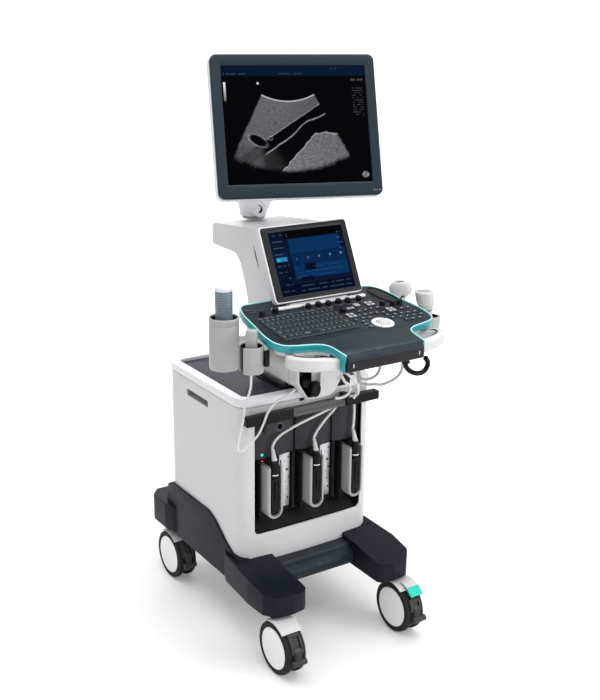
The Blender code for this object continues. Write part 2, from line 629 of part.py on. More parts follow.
def controls():
    for number, (x, y) in enumerate(KNOBS, 1):
        knob = cylinder(KNOB_R, KNOB_H, deck_point(x, y, GAP + KNOB_H / 2), sides=12,
                        top_radius=KNOB_R * 0.90, matrix=DECK)
        part("knob_%d" % number, knob, DARK, DECK @ Vector(deck_point(x, y)))
    x, y, z = deck_point(0.082, -0.207, 0.0036)
    key = box((x - 0.0080, y - 0.0075, 0.0020), (x + 0.0080, y + 0.0075, 0.0052), 0.0010,
              matrix=DECK)
    part("scan_key", key, GREY, DECK @ Vector((x, y, z)))
    centre = DECK @ Vector(deck_point(*BALL_POS, BALL_Z))
    part("trackball", ball(BALL_R, centre, 14), GLOSS, centre)


def tower():
    """Carries the touch panel and the monitor."""
    post = prism(TOWER, 0.2100, SIDE, bevel=0.005)
    web = box((-0.0900, -0.0350, 0.0004), (0.0900, 0.0030, 0.0034), matrix=DECK)
    strip = box((-0.1420, -0.0405, 0.0007), (0.1420, -0.0280, 0.0074), 0.0010, matrix=DECK)
    riser = box((-0.0880, -0.0045, 0.0009), (0.0880, 0.0175, 0.0120), matrix=DECK)
    part("tower", union(post, web, strip, riser), WHITE)


# ----------------------------------------------------------------- cups, bottle, probes
GEL = (-0.273, -0.150)                       # plan (x, y)
LEFT_CUP = (-0.267, -0.270)
RIGHT_REAR_CUP, RIGHT_FRONT_CUP = (0.270, -0.150), (0.270, -0.270)
# Turned profiles, (radius, z)
GEL_CUP = [(0.0, 0.795), (0.0390, 0.795), (0.0420, 0.798), (0.0420, 0.930), (0.0370, 0.930),
           (0.0370, 0.800), (0.0, 0.800)]
GEL_BOTTLE = [(0.0, 0.8003), (0.0240, 0.8003), (0.0260, 0.804), (0.0260, 0.972),
              (0.0230, 0.988), (0.0205, 0.992), (0.0205, 1.026), (0.0180, 1.030), (0.0, 1.030)]
PROBE_TAIL = [(0.0, 0.8313), (0.0110, 0.8313), (0.0130, 0.850)]
LINEAR_HEAD = [(0.0135, 0.872), (0.0215, 0.890), (0.0225, 0.915), (0.0150, 0.920), (0.0, 0.921)]
PHASED_HEAD = [(0.0140, 0.890), (0.0190, 0.912), (0.0215, 0.935), (0.0205, 0.951),
               (0.0150, 0.954), (0.0, 0.954)]
CONVEX_HEAD = [(0.0140, 0.885), (0.0170, 0.900), (0.0240, 0.915)] + [
    (0.0260 * math.cos(a), 0.930 + 0.0270 * math.sin(a))
    for a in (math.radians(-20 + 110 * k / 6) for k in range(6))] + [(0.0, 0.957)]


def gel():
    cup = union(lathe(GEL_CUP, 24, at(*GEL)),
                box((-0.2380, -0.162, 0.860), (-0.1556, -0.138, 0.876)))
    part("gel_cup", cup, WHITE)
    part("gel_bottle", lathe(GEL_BOTTLE, 20, at(*GEL)), BOTTLE, (*GEL, 0.8))


def probe_cup(place, top):
    """Cup with a hole in its floor."""
    outer, inner, hole, bottom = 0.0310, 0.0265, 0.0150, 0.826
    return lathe([(hole, bottom), (outer - 0.003, bottom), (outer, bottom + 0.003), (outer, top),
                  (inner, top), (inner, bottom + 0.005), (hole, bottom + 0.005),
                  (hole, bottom)], 16, at(*place))


def probe_cups():
    left = union(probe_cup(LEFT_CUP, 0.893),
                 box((-0.2395, -0.2830, 0.848), (-0.1556, -0.2640, 0.862)))
    part("probe_cup_left", left, WHITE)
    right = union(probe_cup(RIGHT_REAR_CUP, 0.888), probe_cup(RIGHT_FRONT_CUP, 0.888),
                  box((0.2290, -0.2860, 0.846), (0.2432, -0.1340, 0.864)),
                  box((0.1556, -0.172, 0.848), (0.2350, -0.148, 0.862)))
    part("probe_cups_right", right, WHITE)


def probes():
    for name, head, place in (("linear", LINEAR_HEAD, LEFT_CUP),
                              ("convex", CONVEX_HEAD, RIGHT_REAR_CUP),
                              ("phased", PHASED_HEAD, RIGHT_FRONT_CUP)):
        body = lathe(PROBE_TAIL + head, 18, at(*place))
        part("probe_" + name, body, PROBE, (*place, 0.85))


# ----------------------------------------------------------------- touch panel
def face_frame(right, up, out, centre):
    """Matrix whose local x, y and z run right, up and out of a screen's face."""
    return Matrix((*zip(right, up, out, centre), (0, 0, 0, 1)))


TOUCH_W, TOUCH_H, TOUCH_T = 0.265, 0.198, 0.022
TOUCH_TILT = math.radians(26.6)
TOUCH = face_frame(right=X_AXIS,
                   up=(0, math.sin(TOUCH_TILT), math.cos(TOUCH_TILT)),
                   out=(0, -math.cos(TOUCH_TILT), math.sin(TOUCH_TILT)),
                   centre=(0.0, -0.1205, 1.037))
TOUCH_PIVOT = (0.0, -0.154, 0.944)


def touch_panel():
    body = prism(centred_rect(TOUCH_W / 2, TOUCH_H / 2, 0.008), TOUCH_T,
                 TOUCH @ at(z=-TOUCH_T / 2), bevel=0.0015)
    part("touch_panel", body, BEZEL, TOUCH_PIVOT)


# ----------------------------------------------------------------- monitor
MON_YAW, MON_PITCH = math.radians(-19.3), math.radians(19.9)
PICTURE_X, PICTURE_Y = 0.376 / 2, 0.301 / 2      # half size of the picture area
FACE_X, FACE_TOP, FACE_LOW = PICTURE_X + 0.026, PICTURE_Y + 0.029, PICTURE_Y + 0.035
MON_RIGHT = Vector((math.cos(MON_YAW), math.sin(MON_YAW), 0))
MON_AHEAD = Vector((math.sin(MON_YAW), -math.cos(MON_YAW), 0))      # level, to the viewer
MON_OUT = Vector((math.sin(MON_YAW) * math.cos(MON_PITCH),
                  -math.cos(MON_YAW) * math.cos(MON_PITCH), math.sin(MON_PITCH)))
MONITOR = face_frame(MON_RIGHT, MON_OUT.cross(MON_RIGHT), MON_OUT,
                     centre=(0.0139, -0.0284, 1.3686))
TILT_Z = -0.066              # tilt axis behind the face
TILT_POINT = MONITOR @ Vector((0, 0, TILT_Z))
PAN_POINT = TILT_POINT - 0.024 * MON_AHEAD
NECK = (0.0, 0.165)          # plan position of the arm's joint on the tower
# Arm sections: share of the way from neck to pan axis, z, half width, half length
ARM_SECTIONS = ((0, 1.0980, 0.028, 0.026), (0.02, 1.112, 0.030, 0.025),
                (0.10, 1.128, 0.040, 0.022), (0.24, 1.165, 0.060, 0.018),
                (0.45, 1.215, 0.061, 0.015), (0.70, 1.265, 0.054, 0.014),
                (0.92, 1.297, 0.034, 0.016), (1.0, 1.3100, 0.020, 0.017))


def arm_section(share, z, half_width, half_length):
    """Level ring of a squared-off ellipse, its length along the arm."""
    along = Vector((PAN_POINT.x - NECK[0], PAN_POINT.y - NECK[1])).normalized()
    centre = Vector(NECK).lerp(PAN_POINT.xy, share)
    ring = []
    for k in range(12):
        angle = math.tau * k / 12
        wide, long = (size * math.copysign(abs(value) ** 0.6, value) for size, value in
                      ((half_width, math.cos(angle)), (half_length, math.sin(angle))))
        ring.append((centre.x - along.y * wide + along.x * long,
                     centre.y + along.x * wide + along.y * long, z))
    return ring


def monitor_arm():
    arm = loft([arm_section(*section) for section in ARM_SECTIONS])
    arm = union(arm, cylinder(0.020, 0.018, (*NECK, 1.106)))
    arm = cut(arm, cylinder(0.0082, 0.060, (*PAN_POINT.xy, 1.305), sides=18))
    part("monitor_arm", arm, GLOSS, (*NECK, 1.1))


def monitor_tilt_head():
    level = Matrix.Translation(TILT_POINT) @ Matrix.Rotation(MON_YAW, 4, 'Z')
    head = union(cylinder(0.0160, 0.0440, (*PAN_POINT.xy, 1.3325)),
                 cylinder(0.0072, 0.030, (*PAN_POINT.xy, 1.2980), sides=18),
                 cylinder(0.0110, 0.0700, TILT_POINT, MON_RIGHT, sides=18))
    head = union(head, box((-0.0120, 0.0, -0.0090), (0.0120, 0.0180, 0.0080), matrix=level))
    head = cut(head, cylinder(0.0047, 0.12, TILT_POINT, MON_RIGHT, sides=16))
    part("monitor_tilt_head", head, DARK, PAN_POINT)


def monitor_shell():
    """Back of the monitor with the two lugs and the pin of its tilt joint."""
    depth = 0.0377
    outline = rounded_rect(-FACE_X - 0.0005, -FACE_LOW + 0.002, FACE_X + 0.0005,
                           FACE_TOP - 0.002, 0.016, 3)
    shell = prism(outline, depth, MONITOR @ at(z=-0.0123 - depth / 2), bevel=0.007)
    lug_x = (0.0412, -0.0412)
    lugs = [cylinder(0.0140, 0.0080, (x, 0, TILT_Z), X_AXIS, sides=18, matrix=MONITOR)
            for x in lug_x]
    feet = [box((x - 0.0036, -0.0136, TILT_Z + 0.0013), (x + 0.0036, 0.0136, -0.0450),
                matrix=MONITOR) for x in lug_x]
    pin = cylinder(0.0040, 0.0840, (0, 0, TILT_Z), X_AXIS, sides=12, matrix=MONITOR)
    part("monitor_shell", union(shell, *lugs, *feet, pin), GLOSS, TILT_POINT)


def monitor_face():
    bezel = prism(rounded_rect(-FACE_X, -FACE_LOW, FACE_X, FACE_TOP, 0.014, 4), 0.0140,
                  MONITOR @ at(z=-0.0050), bevel=0.0020)
    bezel = cut(bezel, box((-PICTURE_X, -PICTURE_Y, -0.02), (PICTURE_X, PICTURE_Y, 0.02),
                           matrix=MONITOR))
    part("monitor_bezel", bezel, BEZEL, TILT_POINT)
    half_x, half_y = PICTURE_X - GAP, PICTURE_Y - GAP
    screen = box((-half_x, -half_y, -0.0115), (half_x, half_y, -0.0008), matrix=MONITOR)
    part("monitor_screen", screen, SCREEN, TILT_POINT)


# ----------------------------------------------------------------- assembly
def centre_on_floor():
    """Move all pieces so the origin is on the floor under the middle of the whole."""
    bpy.context.view_layer.update()
    points = [piece.matrix_world @ vert.co for piece in parts.objects
              for vert in piece.data.vertices]
    low, high = ([pick(point[i] for point in points) for i in range(3)] for pick in (min, max))
    shift = Vector((-(low[0] + high[0]) / 2, -(low[1] + high[1]) / 2, -low[2]))
    for piece in parts.objects:
        piece.location = piece.location + shift
    bpy.context.view_layer.update()


for build in (base_frame, base_plates, casters,
              cabinet_shell, rear_panel, cabinet_top, connector_bay, connectors,
              cabinet_inside, fan_rotor, columns, support_arm,
              console_panel, teal_trim, console_shell, keyboard, controls, tower,
              gel, probe_cups, probes, touch_panel,
              monitor_arm, monitor_tilt_head, monitor_shell, monitor_face,
              centre_on_floor):
    build()
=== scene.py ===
import math
import random
import bpy
import bmesh
from mathutils import Matrix, Vector


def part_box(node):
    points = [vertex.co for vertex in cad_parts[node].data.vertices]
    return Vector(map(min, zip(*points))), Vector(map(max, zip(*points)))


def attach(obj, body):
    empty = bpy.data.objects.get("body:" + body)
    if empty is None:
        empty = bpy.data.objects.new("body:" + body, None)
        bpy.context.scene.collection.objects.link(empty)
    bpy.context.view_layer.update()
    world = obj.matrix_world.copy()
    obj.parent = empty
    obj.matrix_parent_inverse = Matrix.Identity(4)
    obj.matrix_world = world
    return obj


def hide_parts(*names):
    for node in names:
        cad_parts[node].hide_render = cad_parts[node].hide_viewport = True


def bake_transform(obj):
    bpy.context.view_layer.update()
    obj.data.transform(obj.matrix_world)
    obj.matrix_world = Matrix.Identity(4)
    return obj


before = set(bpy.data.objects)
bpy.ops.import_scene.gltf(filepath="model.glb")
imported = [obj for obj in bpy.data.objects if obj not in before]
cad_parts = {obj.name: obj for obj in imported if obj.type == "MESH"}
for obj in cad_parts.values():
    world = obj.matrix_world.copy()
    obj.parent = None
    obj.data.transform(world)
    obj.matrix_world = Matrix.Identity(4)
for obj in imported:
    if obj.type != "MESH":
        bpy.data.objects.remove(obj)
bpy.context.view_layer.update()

random.seed(7)
b0, b1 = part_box("belly_plate")
SHIFT = Vector(((b0.x + b1.x) / 2, (b0.y + b1.y) / 2 - 0.09, b0.z - 0.150))   # design frame to row frame
TO_ROW = Matrix.Translation(SHIFT)
scene = bpy.context.scene

# ------------------------------------------------------------------ mesh helpers


def link_mesh(name, bm, matrix=None, normals=True):
    bmesh.ops.remove_doubles(bm, verts=bm.verts, dist=1e-6)
    if matrix is not None:
        bmesh.ops.transform(bm, matrix=matrix, verts=bm.verts)
    if normals:
        bmesh.ops.recalc_face_normals(bm, faces=bm.faces)
    me = bpy.data.meshes.new(name)
    bm.to_mesh(me)
    bm.free()
    ob = bpy.data.objects.new(name, me)
    scene.collection.objects.link(ob)
    return ob


def sharp_bevel(bm, width, seg, angle=30.0):
    bmesh.ops.dissolve_limit(bm, angle_limit=math.radians(0.6), verts=bm.verts, edges=bm.edges)
    edges = [e for e in bm.edges if e.is_manifold and e.calc_face_angle(0) > math.radians(angle)]
    bmesh.ops.bevel(bm, geom=edges, offset=width, segments=seg, profile=0.5,
                    affect='EDGES', clamp_overlap=True)


def box(lo, hi, bevel=0.0, seg=3, matrix=None):
    bm = bmesh.new()
    bmesh.ops.create_cube(bm, size=1.0)
    c = [(a + b) / 2 for a, b in zip(lo, hi)]
    s = [b - a for a, b in zip(lo, hi)]
    bmesh.ops.transform(bm, matrix=Matrix.Translation(c) @ Matrix.Diagonal((*s, 1.0)), verts=bm.verts)
    if bevel:
        sharp_bevel(bm, bevel, seg)
    return link_mesh("box", bm, matrix)


def axis_matrix(centre, axis):
    return Matrix.Translation(centre) @ Vector((0, 0, 1)).rotation_difference(Vector(axis)).to_matrix().to_4x4()


def cyl(r, length, centre, axis=(0, 0, 1), n=48, r2=None, bevel=0.0, seg=3, matrix=None):
    bm = bmesh.new()
    bmesh.ops.create_cone(bm, cap_ends=True, segments=n, radius1=r, radius2=r if r2 is None else r2, depth=length)
    if bevel:
        rim = [e for e in bm.edges if abs(e.verts[0].co.z - e.verts[1].co.z) < 1e-9]
        bmesh.ops.bevel(bm, geom=rim, offset=bevel, segments=seg, profile=0.5, affect='EDGES')
    m = axis_matrix(centre, axis)
    return link_mesh("cyl", bm, m if matrix is None else matrix @ m)


def ball(r, centre, u=40, v=24, scale=(1, 1, 1), matrix=None):
    bm = bmesh.new()
    bmesh.ops.create_uvsphere(bm, u_segments=u, v_segments=v, radius=r)
    m = Matrix.Translation(centre) @ Matrix.Diagonal((*scale, 1.0))
    return link_mesh("ball", bm, m if matrix is None else matrix @ m)


def curve_mesh(cu, matrix=None, bevel=0.0, seg=3, angle=30.0):
    ob = bpy.data.objects.new("curve", cu)
    scene.collection.objects.link(ob)
    bpy.context.view_layer.update()
    me = bpy.data.meshes.new_from_object(ob.evaluated_get(bpy.context.evaluated_depsgraph_get()))
    bm = bmesh.new()
    bm.from_mesh(me)
    bpy.data.objects.remove(ob, do_unlink=True)
    bpy.data.meshes.remove(me)
    bmesh.ops.remove_doubles(bm, verts=bm.verts, dist=1e-5)
    if bevel:
        sharp_bevel(bm, bevel, seg, angle)
    return link_mesh("curve_solid", bm, matrix)


def prism(pts, depth, matrix=None, bevel=0.0, seg=3, angle=30.0):
    """Flat outline in local XY, thickened by depth about z = 0."""
    cu = bpy.data.curves.new("outline", 'CURVE')
    cu.dimensions = '2D'
    cu.fill_mode = 'BOTH'
    cu.extrude = depth / 2
    sp = cu.splines.new('POLY')
    sp.points.add(len(pts) - 1)
    for p, q in zip(sp.points, pts):
        p.co = (q[0], q[1], 0.0, 1.0)
    sp.use_cyclic_u = True
    return curve_mesh(cu, matrix, bevel, seg, angle)


def wire(pts, r, res=4, taper=None):
    """Round cable through the points; taper gives the radius share at each point."""
    cu = bpy.data.curves.new("wire", 'CURVE')
    cu.dimensions = '3D'
    cu.bevel_depth = r
    cu.bevel_resolution = res
    cu.use_fill_caps = True
    sp = cu.splines.new('POLY')
    sp.points.add(len(pts) - 1)
    for i, (p, q) in enumerate(zip(sp.points, pts)):
        p.co = (*q, 1.0)
        if taper:
            p.radius = taper[i]
    return curve_mesh(cu)


def lathe(profile, steps=56, matrix=None):
    """Turned body; profile is (radius, z)."""
    bm = bmesh.new()
    rows = []
    for r, z in profile:
        if r < 1e-7:
            rows.append([bm.verts.new((0, 0, z))])
        else:
            rows.append([bm.verts.new((r * math.cos(math.tau * k / steps), r * math.sin(math.tau * k / steps), z))
                         for k in range(steps)])
    for a, b in zip(rows, rows[1:]):
        for k in range(steps):
            j = (k + 1) % steps
            if len(a) == 1 and len(b) == 1:
                continue
            if len(a) == 1:
                bm.faces.new((a[0], b[j], b[k]))
            elif len(b) == 1:
                bm.faces.new((a[k], a[j], b[0]))
            else:
                bm.faces.new((a[k], a[j], b[j], b[k]))
    return link_mesh("turned", bm, matrix)


def loft(rings, matrix=None, closed_ends=True):
    bm = bmesh.new()
    rows = [[bm.verts.new(p) for p in ring] for ring in rings]
    n = len(rows[0])
    for a, b in zip(rows, rows[1:]):
        for i in range(n):
            bm.faces.new((a[i], a[(i + 1) % n], b[(i + 1) % n], b[i]))
    if closed_ends:
        bm.faces.new(rows[0])
        bm.faces.new(rows[-1])
    return link_mesh("loft", bm, matrix)


def sweep(path, section, up=(0, 0, 1), scale=None):
    """Section (a across, b along up) carried along the path."""
    P = [Vector(p) for p in path]
    rings, prev = [], None
    for i, p in enumerate(P):
        t = (P[min(i + 1, len(P) - 1)] - P[max(i - 1, 0)]).normalized()
        x = t.cross(Vector(up))
        if x.length < 1e-3:
            x = prev
        x.normalize()
        if prev is not None and x.dot(prev) < 0:
            x = -x
        prev = x
        y = x.cross(t)
        if y.dot(Vector(up)) < 0:
            y = -y
        s = scale(i / (len(P) - 1)) if scale else 1.0
        rings.append([p + x * (a * s) + y * (b * s) for a, b in section])
    return loft(rings)


def combine(base, others, operation):
    for o in others:
        md = base.modifiers.new("b", 'BOOLEAN')
        md.operation = operation
        md.solver = 'EXACT'
        md.object = o
    bpy.context.view_layer.update()
    me = bpy.data.meshes.new_from_object(base.evaluated_get(bpy.context.evaluated_depsgraph_get()))
    base.modifiers.clear()
    base.data = me
    for o in others:
        bpy.data.objects.remove(o, do_unlink=True)
    return base


def union(base, *others):
    return combine(base, others, 'UNION')


def cut(base, *others):
    return combine(base, others, 'DIFFERENCE')


def join(*obs):
    """Several separate solids in one piece."""
    bm = bmesh.new()
    for o in obs:
        off = len(bm.verts)
        bm.from_mesh(o.data)
        bpy.data.objects.remove(o, do_unlink=True)
    return link_mesh("joined", bm, normals=False)


def clean(ob):
    bm = bmesh.new()
    bm.from_mesh(ob.data)
    bmesh.ops.remove_doubles(bm, verts=bm.verts, dist=2e-6)
    bmesh.ops.dissolve_degenerate(bm, edges=bm.edges, dist=2e-6)
    bm.to_mesh(ob.data)
    bm.free()


def piece(name, ob, mat, body, edge=0.0, seg=2, smooth=35.0, at_frame=None, instead_of=(), weld=True):
    """Names a finished body, gives it its material and lets it ride on a CAD body."""
    if weld:
        clean(ob)
    ob.name = name
    ob.data.name = name
    ob.data.materials.clear()
    for m in (mat if isinstance(mat, (list, tuple)) else [mat]):
        ob.data.materials.append(m)
    ob.data.shade_smooth()
    ob.data.set_sharp_from_angle(angle=math.radians(smooth))
    ob.matrix_world = TO_ROW @ (at_frame if at_frame is not None else Matrix.Identity(4))
    if edge:
        md = ob.modifiers.new("edges", 'BEVEL')
        md.width = edge
        md.segments = seg
        md.limit_method = 'ANGLE'
        md.angle_limit = math.radians(32)
        md.use_clamp_overlap = True
        md.harden_normals = True
        md.miter_outer = 'MITER_ARC'
    if body:
        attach(ob, body)
    if instead_of:
        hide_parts(*instead_of)
    return ob


def mirror_x(pts):
    return [(-p[0],) + tuple(p[1:]) for p in pts]


def catmull(pts, n, closed=False):
    out = []
    m = len(pts)
    spans = m if closed else m - 1
    for i in range(spans):
        if closed:
            p0, p1, p2, p3 = pts[i - 1], pts[i], pts[(i + 1) % m], pts[(i + 2) % m]
        else:
            p0, p1, p2, p3 = pts[max(i - 1, 0)], pts[i], pts[i + 1], pts[min(i + 2, m - 1)]
        for k in range(n):
            t = k / n
            out.append(tuple(0.5 * (2 * b + (c - a) * t + (2 * a - 5 * b + 4 * c - d) * t * t
                                    + (3 * b - a - 3 * c + d) * t ** 3)
                             for a, b, c, d in zip(p0, p1, p2, p3)))
    if not closed:
        out.append(tuple(pts[-1]))
    return out


def offset(pts, d):
    """Closed outline moved outward by d (pts counter-clockwise)."""
    n = len(pts)
    out = []
    for i in range(n):
        a, b, c = (Vector(pts[i - 1]), Vector(pts[i]), Vector(pts[(i + 1) % n]))
        e1, e2 = (b - a).normalized(), (c - b).normalized()
        n1, n2 = Vector((e1.y, -e1.x)), Vector((e2.y, -e2.x))
        m = (n1 + n2).normalized()
        out.append(tuple(b + m * (d / max(m.dot(n1), 0.5))))
    return out


def fillet(pts, r, n=6):
    """Closed outline with its corners rounded; r is one radius, or one for each point."""
    out = []
    m = len(pts)
    for i, p in enumerate(pts):
        a, b, c = Vector(pts[i - 1][:2]), Vector(p[:2]), Vector(pts[(i + 1) % m][:2])
        rad = r[i] if hasattr(r, '__len__') else r
        u, v = a - b, c - b
        lu, lv = u.length, v.length
        u.normalize()
        v.normalize()
        ang = u.angle(v)
        if rad <= 0 or ang > math.pi - 0.02:
            out.append(tuple(b))
            continue
        t = min(rad / math.tan(ang / 2), lu * 0.49, lv * 0.49)
        rr = t * math.tan(ang / 2)
        cc = b + (u + v).normalized() * (rr / math.sin(ang / 2))
        p0, p1 = b + u * t - cc, b + v * t - cc
        a0, a1 = math.atan2(p0.y, p0.x), math.atan2(p1.y, p1.x)
        d = (a1 - a0 + math.pi) % math.tau - math.pi
        for k in range(n + 1):
            w = a0 + d * k / n
            out.append((cc.x + rr * math.cos(w), cc.y + rr * math.sin(w)))
    return out


def rounded_rect(x0, y0, x1, y1, r, n=8, bow=0.0, bow_n=0):
    pts = []
    for cx, cy, a0 in ((x1 - r, y0 + r, -90), (x1 - r, y1 - r, 0), (x0 + r, y1 - r, 90), (x0 + r, y0 + r, 180)):
        for k in range(n + 1):
            a = math.radians(a0 + 90.0 * k / n)
            pts.append((cx + r * math.cos(a), cy + r * math.sin(a)))
    if bow:
        w = (x1 - x0) / 2 - r
        for k in range(1, bow_n):
            x = -w + 2 * w * k / bow_n
            pts.append((x + (x0 + x1) / 2, y0 - bow * (1 - (x / w) ** 2)))
    return pts


SIDE = Matrix(((0, 0, 1, 0), (1, 0, 0, 0), (0, 1, 0, 0), (0, 0, 0, 1)))    # outline (y, z), thick in x
FRONT = Matrix(((1, 0, 0, 0), (0, 0, -1, 0), (0, 1, 0, 0), (0, 0, 0, 1)))  # outline (x, z), thick in y


def at(x=0.0, y=0.0, z=0.0):
    return Matrix.Translation((x, y, z))


# ------------------------------------------------------------------ materials


class Num:
    """A number flowing through a material's nodes."""

    def __init__(self, nt, socket):
        self.nt, self.socket = nt, socket

    def op(self, kind, *others):
        n = self.nt.nodes.new("ShaderNodeMath")
        n.operation = kind
        for i, v in enumerate((self,) + others):
            if isinstance(v, Num):
                self.nt.links.new(v.socket, n.inputs[i])
            else:
                n.inputs[i].default_value = v
        return Num(self.nt, n.outputs[0])

    def __add__(self, o): return self.op('ADD', o)
    def __radd__(self, o): return self.op('ADD', o)
    def __sub__(self, o): return self.op('SUBTRACT', o)
    def __rsub__(self, o): return self.op('MULTIPLY', -1.0).op('ADD', o)
    def __mul__(self, o): return self.op('MULTIPLY', o)
    def __rmul__(self, o): return self.op('MULTIPLY', o)
    def __truediv__(self, o): return self.op('DIVIDE', o)
    def __pow__(self, o): return self.op('POWER', o)
    def abs(self): return self.op('ABSOLUTE')
    def sqrt(self): return self.op('SQRT')
    def min(self, o): return self.op('MINIMUM', o)
    def max(self, o): return self.op('MAXIMUM', o)
    def sin(self): return self.op('SINE')
    def fract(self): return self.op('FRACT')
    def floor(self): return self.op('FLOOR')

    def step(self, lo, hi):
        """0 below lo, 1 above hi, smooth between."""
        n = self.nt.nodes.new("ShaderNodeMapRange")
        n.interpolation_type = 'SMOOTHSTEP'
        self.nt.links.new(self.socket, n.inputs["Value"])
        n.inputs["From Min"].default_value = lo
        n.inputs["From Max"].default_value = hi
        return Num(self.nt, n.outputs["Result"])

    def near(self, c, w):
        """1 at c, falling to 0 at a distance w."""
        return 1.0 - (self - c).abs().step(0.0, w)

    def between(self, a, b, soft=0.0004):
        return self.step(a - soft, a + soft) * (1.0 - self.step(b - soft, b + soft))


def start_material(name):
    m = bpy.data.materials.new(name)
    m.use_nodes = True
    nt = m.node_tree
    return m, nt, nt.nodes["Principled BSDF"]


def tex_noise(nt, vec, scale, detail=3.0, rough=0.5, dist=0.0):
    n = nt.nodes.new("ShaderNodeTexNoise")
    n.inputs["Scale"].default_value = scale
    n.inputs["Detail"].default_value = detail
    n.inputs["Roughness"].default_value = rough
    n.inputs["Distortion"].default_value = dist
    if vec is not None:
        nt.links.new(vec, n.inputs["Vector"])
    return Num(nt, n.outputs[0])


def stretched(nt, vec, scale):
    n = nt.nodes.new("ShaderNodeVectorMath")
    n.operation = 'MULTIPLY'
    nt.links.new(vec, n.inputs[0])
    n.inputs[1].default_value = scale
    return n.outputs[0]


def mix_colour(nt, a, b, fac):
    n = nt.nodes.new("ShaderNodeMix")
    n.data_type = 'RGBA'
    n.clamp_factor = True
    if isinstance(fac, Num):
        nt.links.new(fac.socket, n.inputs[0])
    else:
        n.inputs[0].default_value = fac
    for idx, c in ((6, a), (7, b)):
        if isinstance(c, (tuple, list)):
            n.inputs[idx].default_value = (*c[:3], 1.0)
        else:
            nt.links.new(c, n.inputs[idx])
    return n.outputs[2]


def finish_surface(nt, bsdf, rough, grain, fine, height, bump, dist=0.0002):
    if bump:
        b = nt.nodes.new("ShaderNodeBump")
        b.inputs["Strength"].default_value = bump
        b.inputs["Distance"].default_value = dist
        nt.links.new(height.socket, b.inputs["Height"])
        nt.links.new(b.outputs[0], bsdf.inputs["Normal"])


def plastic(name, colour, rough=0.4, var=0.06, rvar=0.08, grain=900.0, bump=0.10, wear_and_highlight=0.25, coat=0.0, metal=0.0,
            cloud=5.0, spec=0.5, wear_and_highlight_colour=None, upward_grey_patches=0.0, sub=0.0):
    """Moulded plastic or paint: cloudy tone, fine spark-eroded grain, edges lightened partly as wear and partly as
    painted highlight, creases darkened as painted shade, uneven gloss.
    """
    m, nt, bsdf = start_material(name)
    vec = nt.nodes.new("ShaderNodeTexCoord").outputs["Object"]
    big = tex_noise(nt, vec, cloud, 4.0, 0.6)
    mid = tex_noise(nt, vec, 60.0, 3.0, 0.6)
    fine = tex_noise(nt, vec, grain, 2.0, 0.5)
    dark = tuple(c * (1 - var) for c in colour)
    light = tuple(min(1.0, c * (1 + var)) for c in colour)
    base = mix_colour(nt, dark, light, (big * 0.6 + mid * 0.25 + fine * 0.15).step(0.30, 0.70))
    geo = nt.nodes.new("ShaderNodeNewGeometry")
    point = Num(nt, geo.outputs["Pointiness"])
    # convex edges are mixed toward a lighter tone: partly rubbed wear, partly a painted highlight along the edges
    wear_and_highlight_mask = (point.step(0.515, 0.58) * (mid.step(0.35, 0.7) * 0.6 + 0.4)) * wear_and_highlight
    lighter = wear_and_highlight_colour or tuple(min(1.0, c * 1.5 + (0.012 if max(colour) < 0.08 else 0.05)) for c in colour)
    base = mix_colour(nt, base, lighter, wear_and_highlight_mask)
    # concave creases and corners are darkened: painted shade
    crease_painted_shade = (1.0 - point.step(0.40, 0.49)) * 0.35
    base = mix_colour(nt, base, tuple(c * 0.45 for c in colour), crease_painted_shade)
    # upward-facing faces are mixed toward grey in noisy patches
    if upward_grey_patches:
        nz = Num(nt, nt.nodes.new("ShaderNodeSeparateXYZ").outputs[2])
        nt.links.new(geo.outputs["Normal"], nz.socket.node.inputs[0])
        base = mix_colour(nt, base, (0.5, 0.5, 0.5), nz.step(0.6, 1.0) * mid.step(0.4, 0.8) * upward_grey_patches)
    nt.links.new(base, bsdf.inputs["Base Color"])
    r = rough + (big - 0.5) * (2 * rvar) + (mid - 0.5) * rvar + wear_and_highlight_mask * -0.08
    r = r.max(0.03).min(1.0)
    nt.links.new(r.socket, bsdf.inputs["Roughness"])
    bsdf.inputs["Metallic"].default_value = metal
    bsdf.inputs["Specular IOR Level"].default_value = spec * (0.30 if max(colour) < 0.08 else 0.8)
    if coat:
        bsdf.inputs["Coat Weight"].default_value = coat
        bsdf.inputs["Coat Roughness"].default_value = 0.06
    if sub:
        bsdf.inputs["Subsurface Weight"].default_value = sub
        bsdf.inputs["Subsurface Radius"].default_value = (0.004, 0.004, 0.004)
    finish_surface(nt, bsdf, r, grain, fine, fine * 0.8 + mid * 0.2, bump)
    return m


def brushed(name, colour, rough=0.3, along=2, lines=900.0):
    """Drawn metal: fine lines along one axis."""
    m, nt, bsdf = start_material(name)
    vec = nt.nodes.new("ShaderNodeTexCoord").outputs["Object"]
    s = [lines, lines, lines]
    s[along] = 12.0
    line = tex_noise(nt, stretched(nt, vec, s), 1.0, 3.0, 0.6)
    big = tex_noise(nt, vec, 9.0, 3.0, 0.6)
    base = mix_colour(nt, tuple(c * 0.82 for c in colour), tuple(min(1, c * 1.1) for c in colour), line.step(0.3, 0.7))
    nt.links.new(base, bsdf.inputs["Base Color"])
    bsdf.inputs["Metallic"].default_value = 1.0
    r = rough + (line - 0.5) * 0.25 + (big - 0.5) * 0.15
    nt.links.new(r.max(0.05).socket, bsdf.inputs["Roughness"])
    finish_surface(nt, bsdf, r, lines, line, line, 0.12, 0.0001)
    return m


def glow(name, colour, strength, spread=0.2):
    """A lit lens: bright heart, darker skin."""
    m, nt, bsdf = start_material(name)
    vec = nt.nodes.new("ShaderNodeTexCoord").outputs["Object"]
    n = tex_noise(nt, vec, 700.0, 2.0)
    base = mix_colour(nt, tuple(c * (1 - spread) for c in colour), colour, n.step(0.3, 0.7))
    nt.links.new(base, bsdf.inputs["Base Color"])
    nt.links.new(base, bsdf.inputs["Emission Color"])
    bsdf.inputs["Emission Strength"].default_value = strength
    bsdf.inputs["Roughness"].default_value = 0.25
    return m


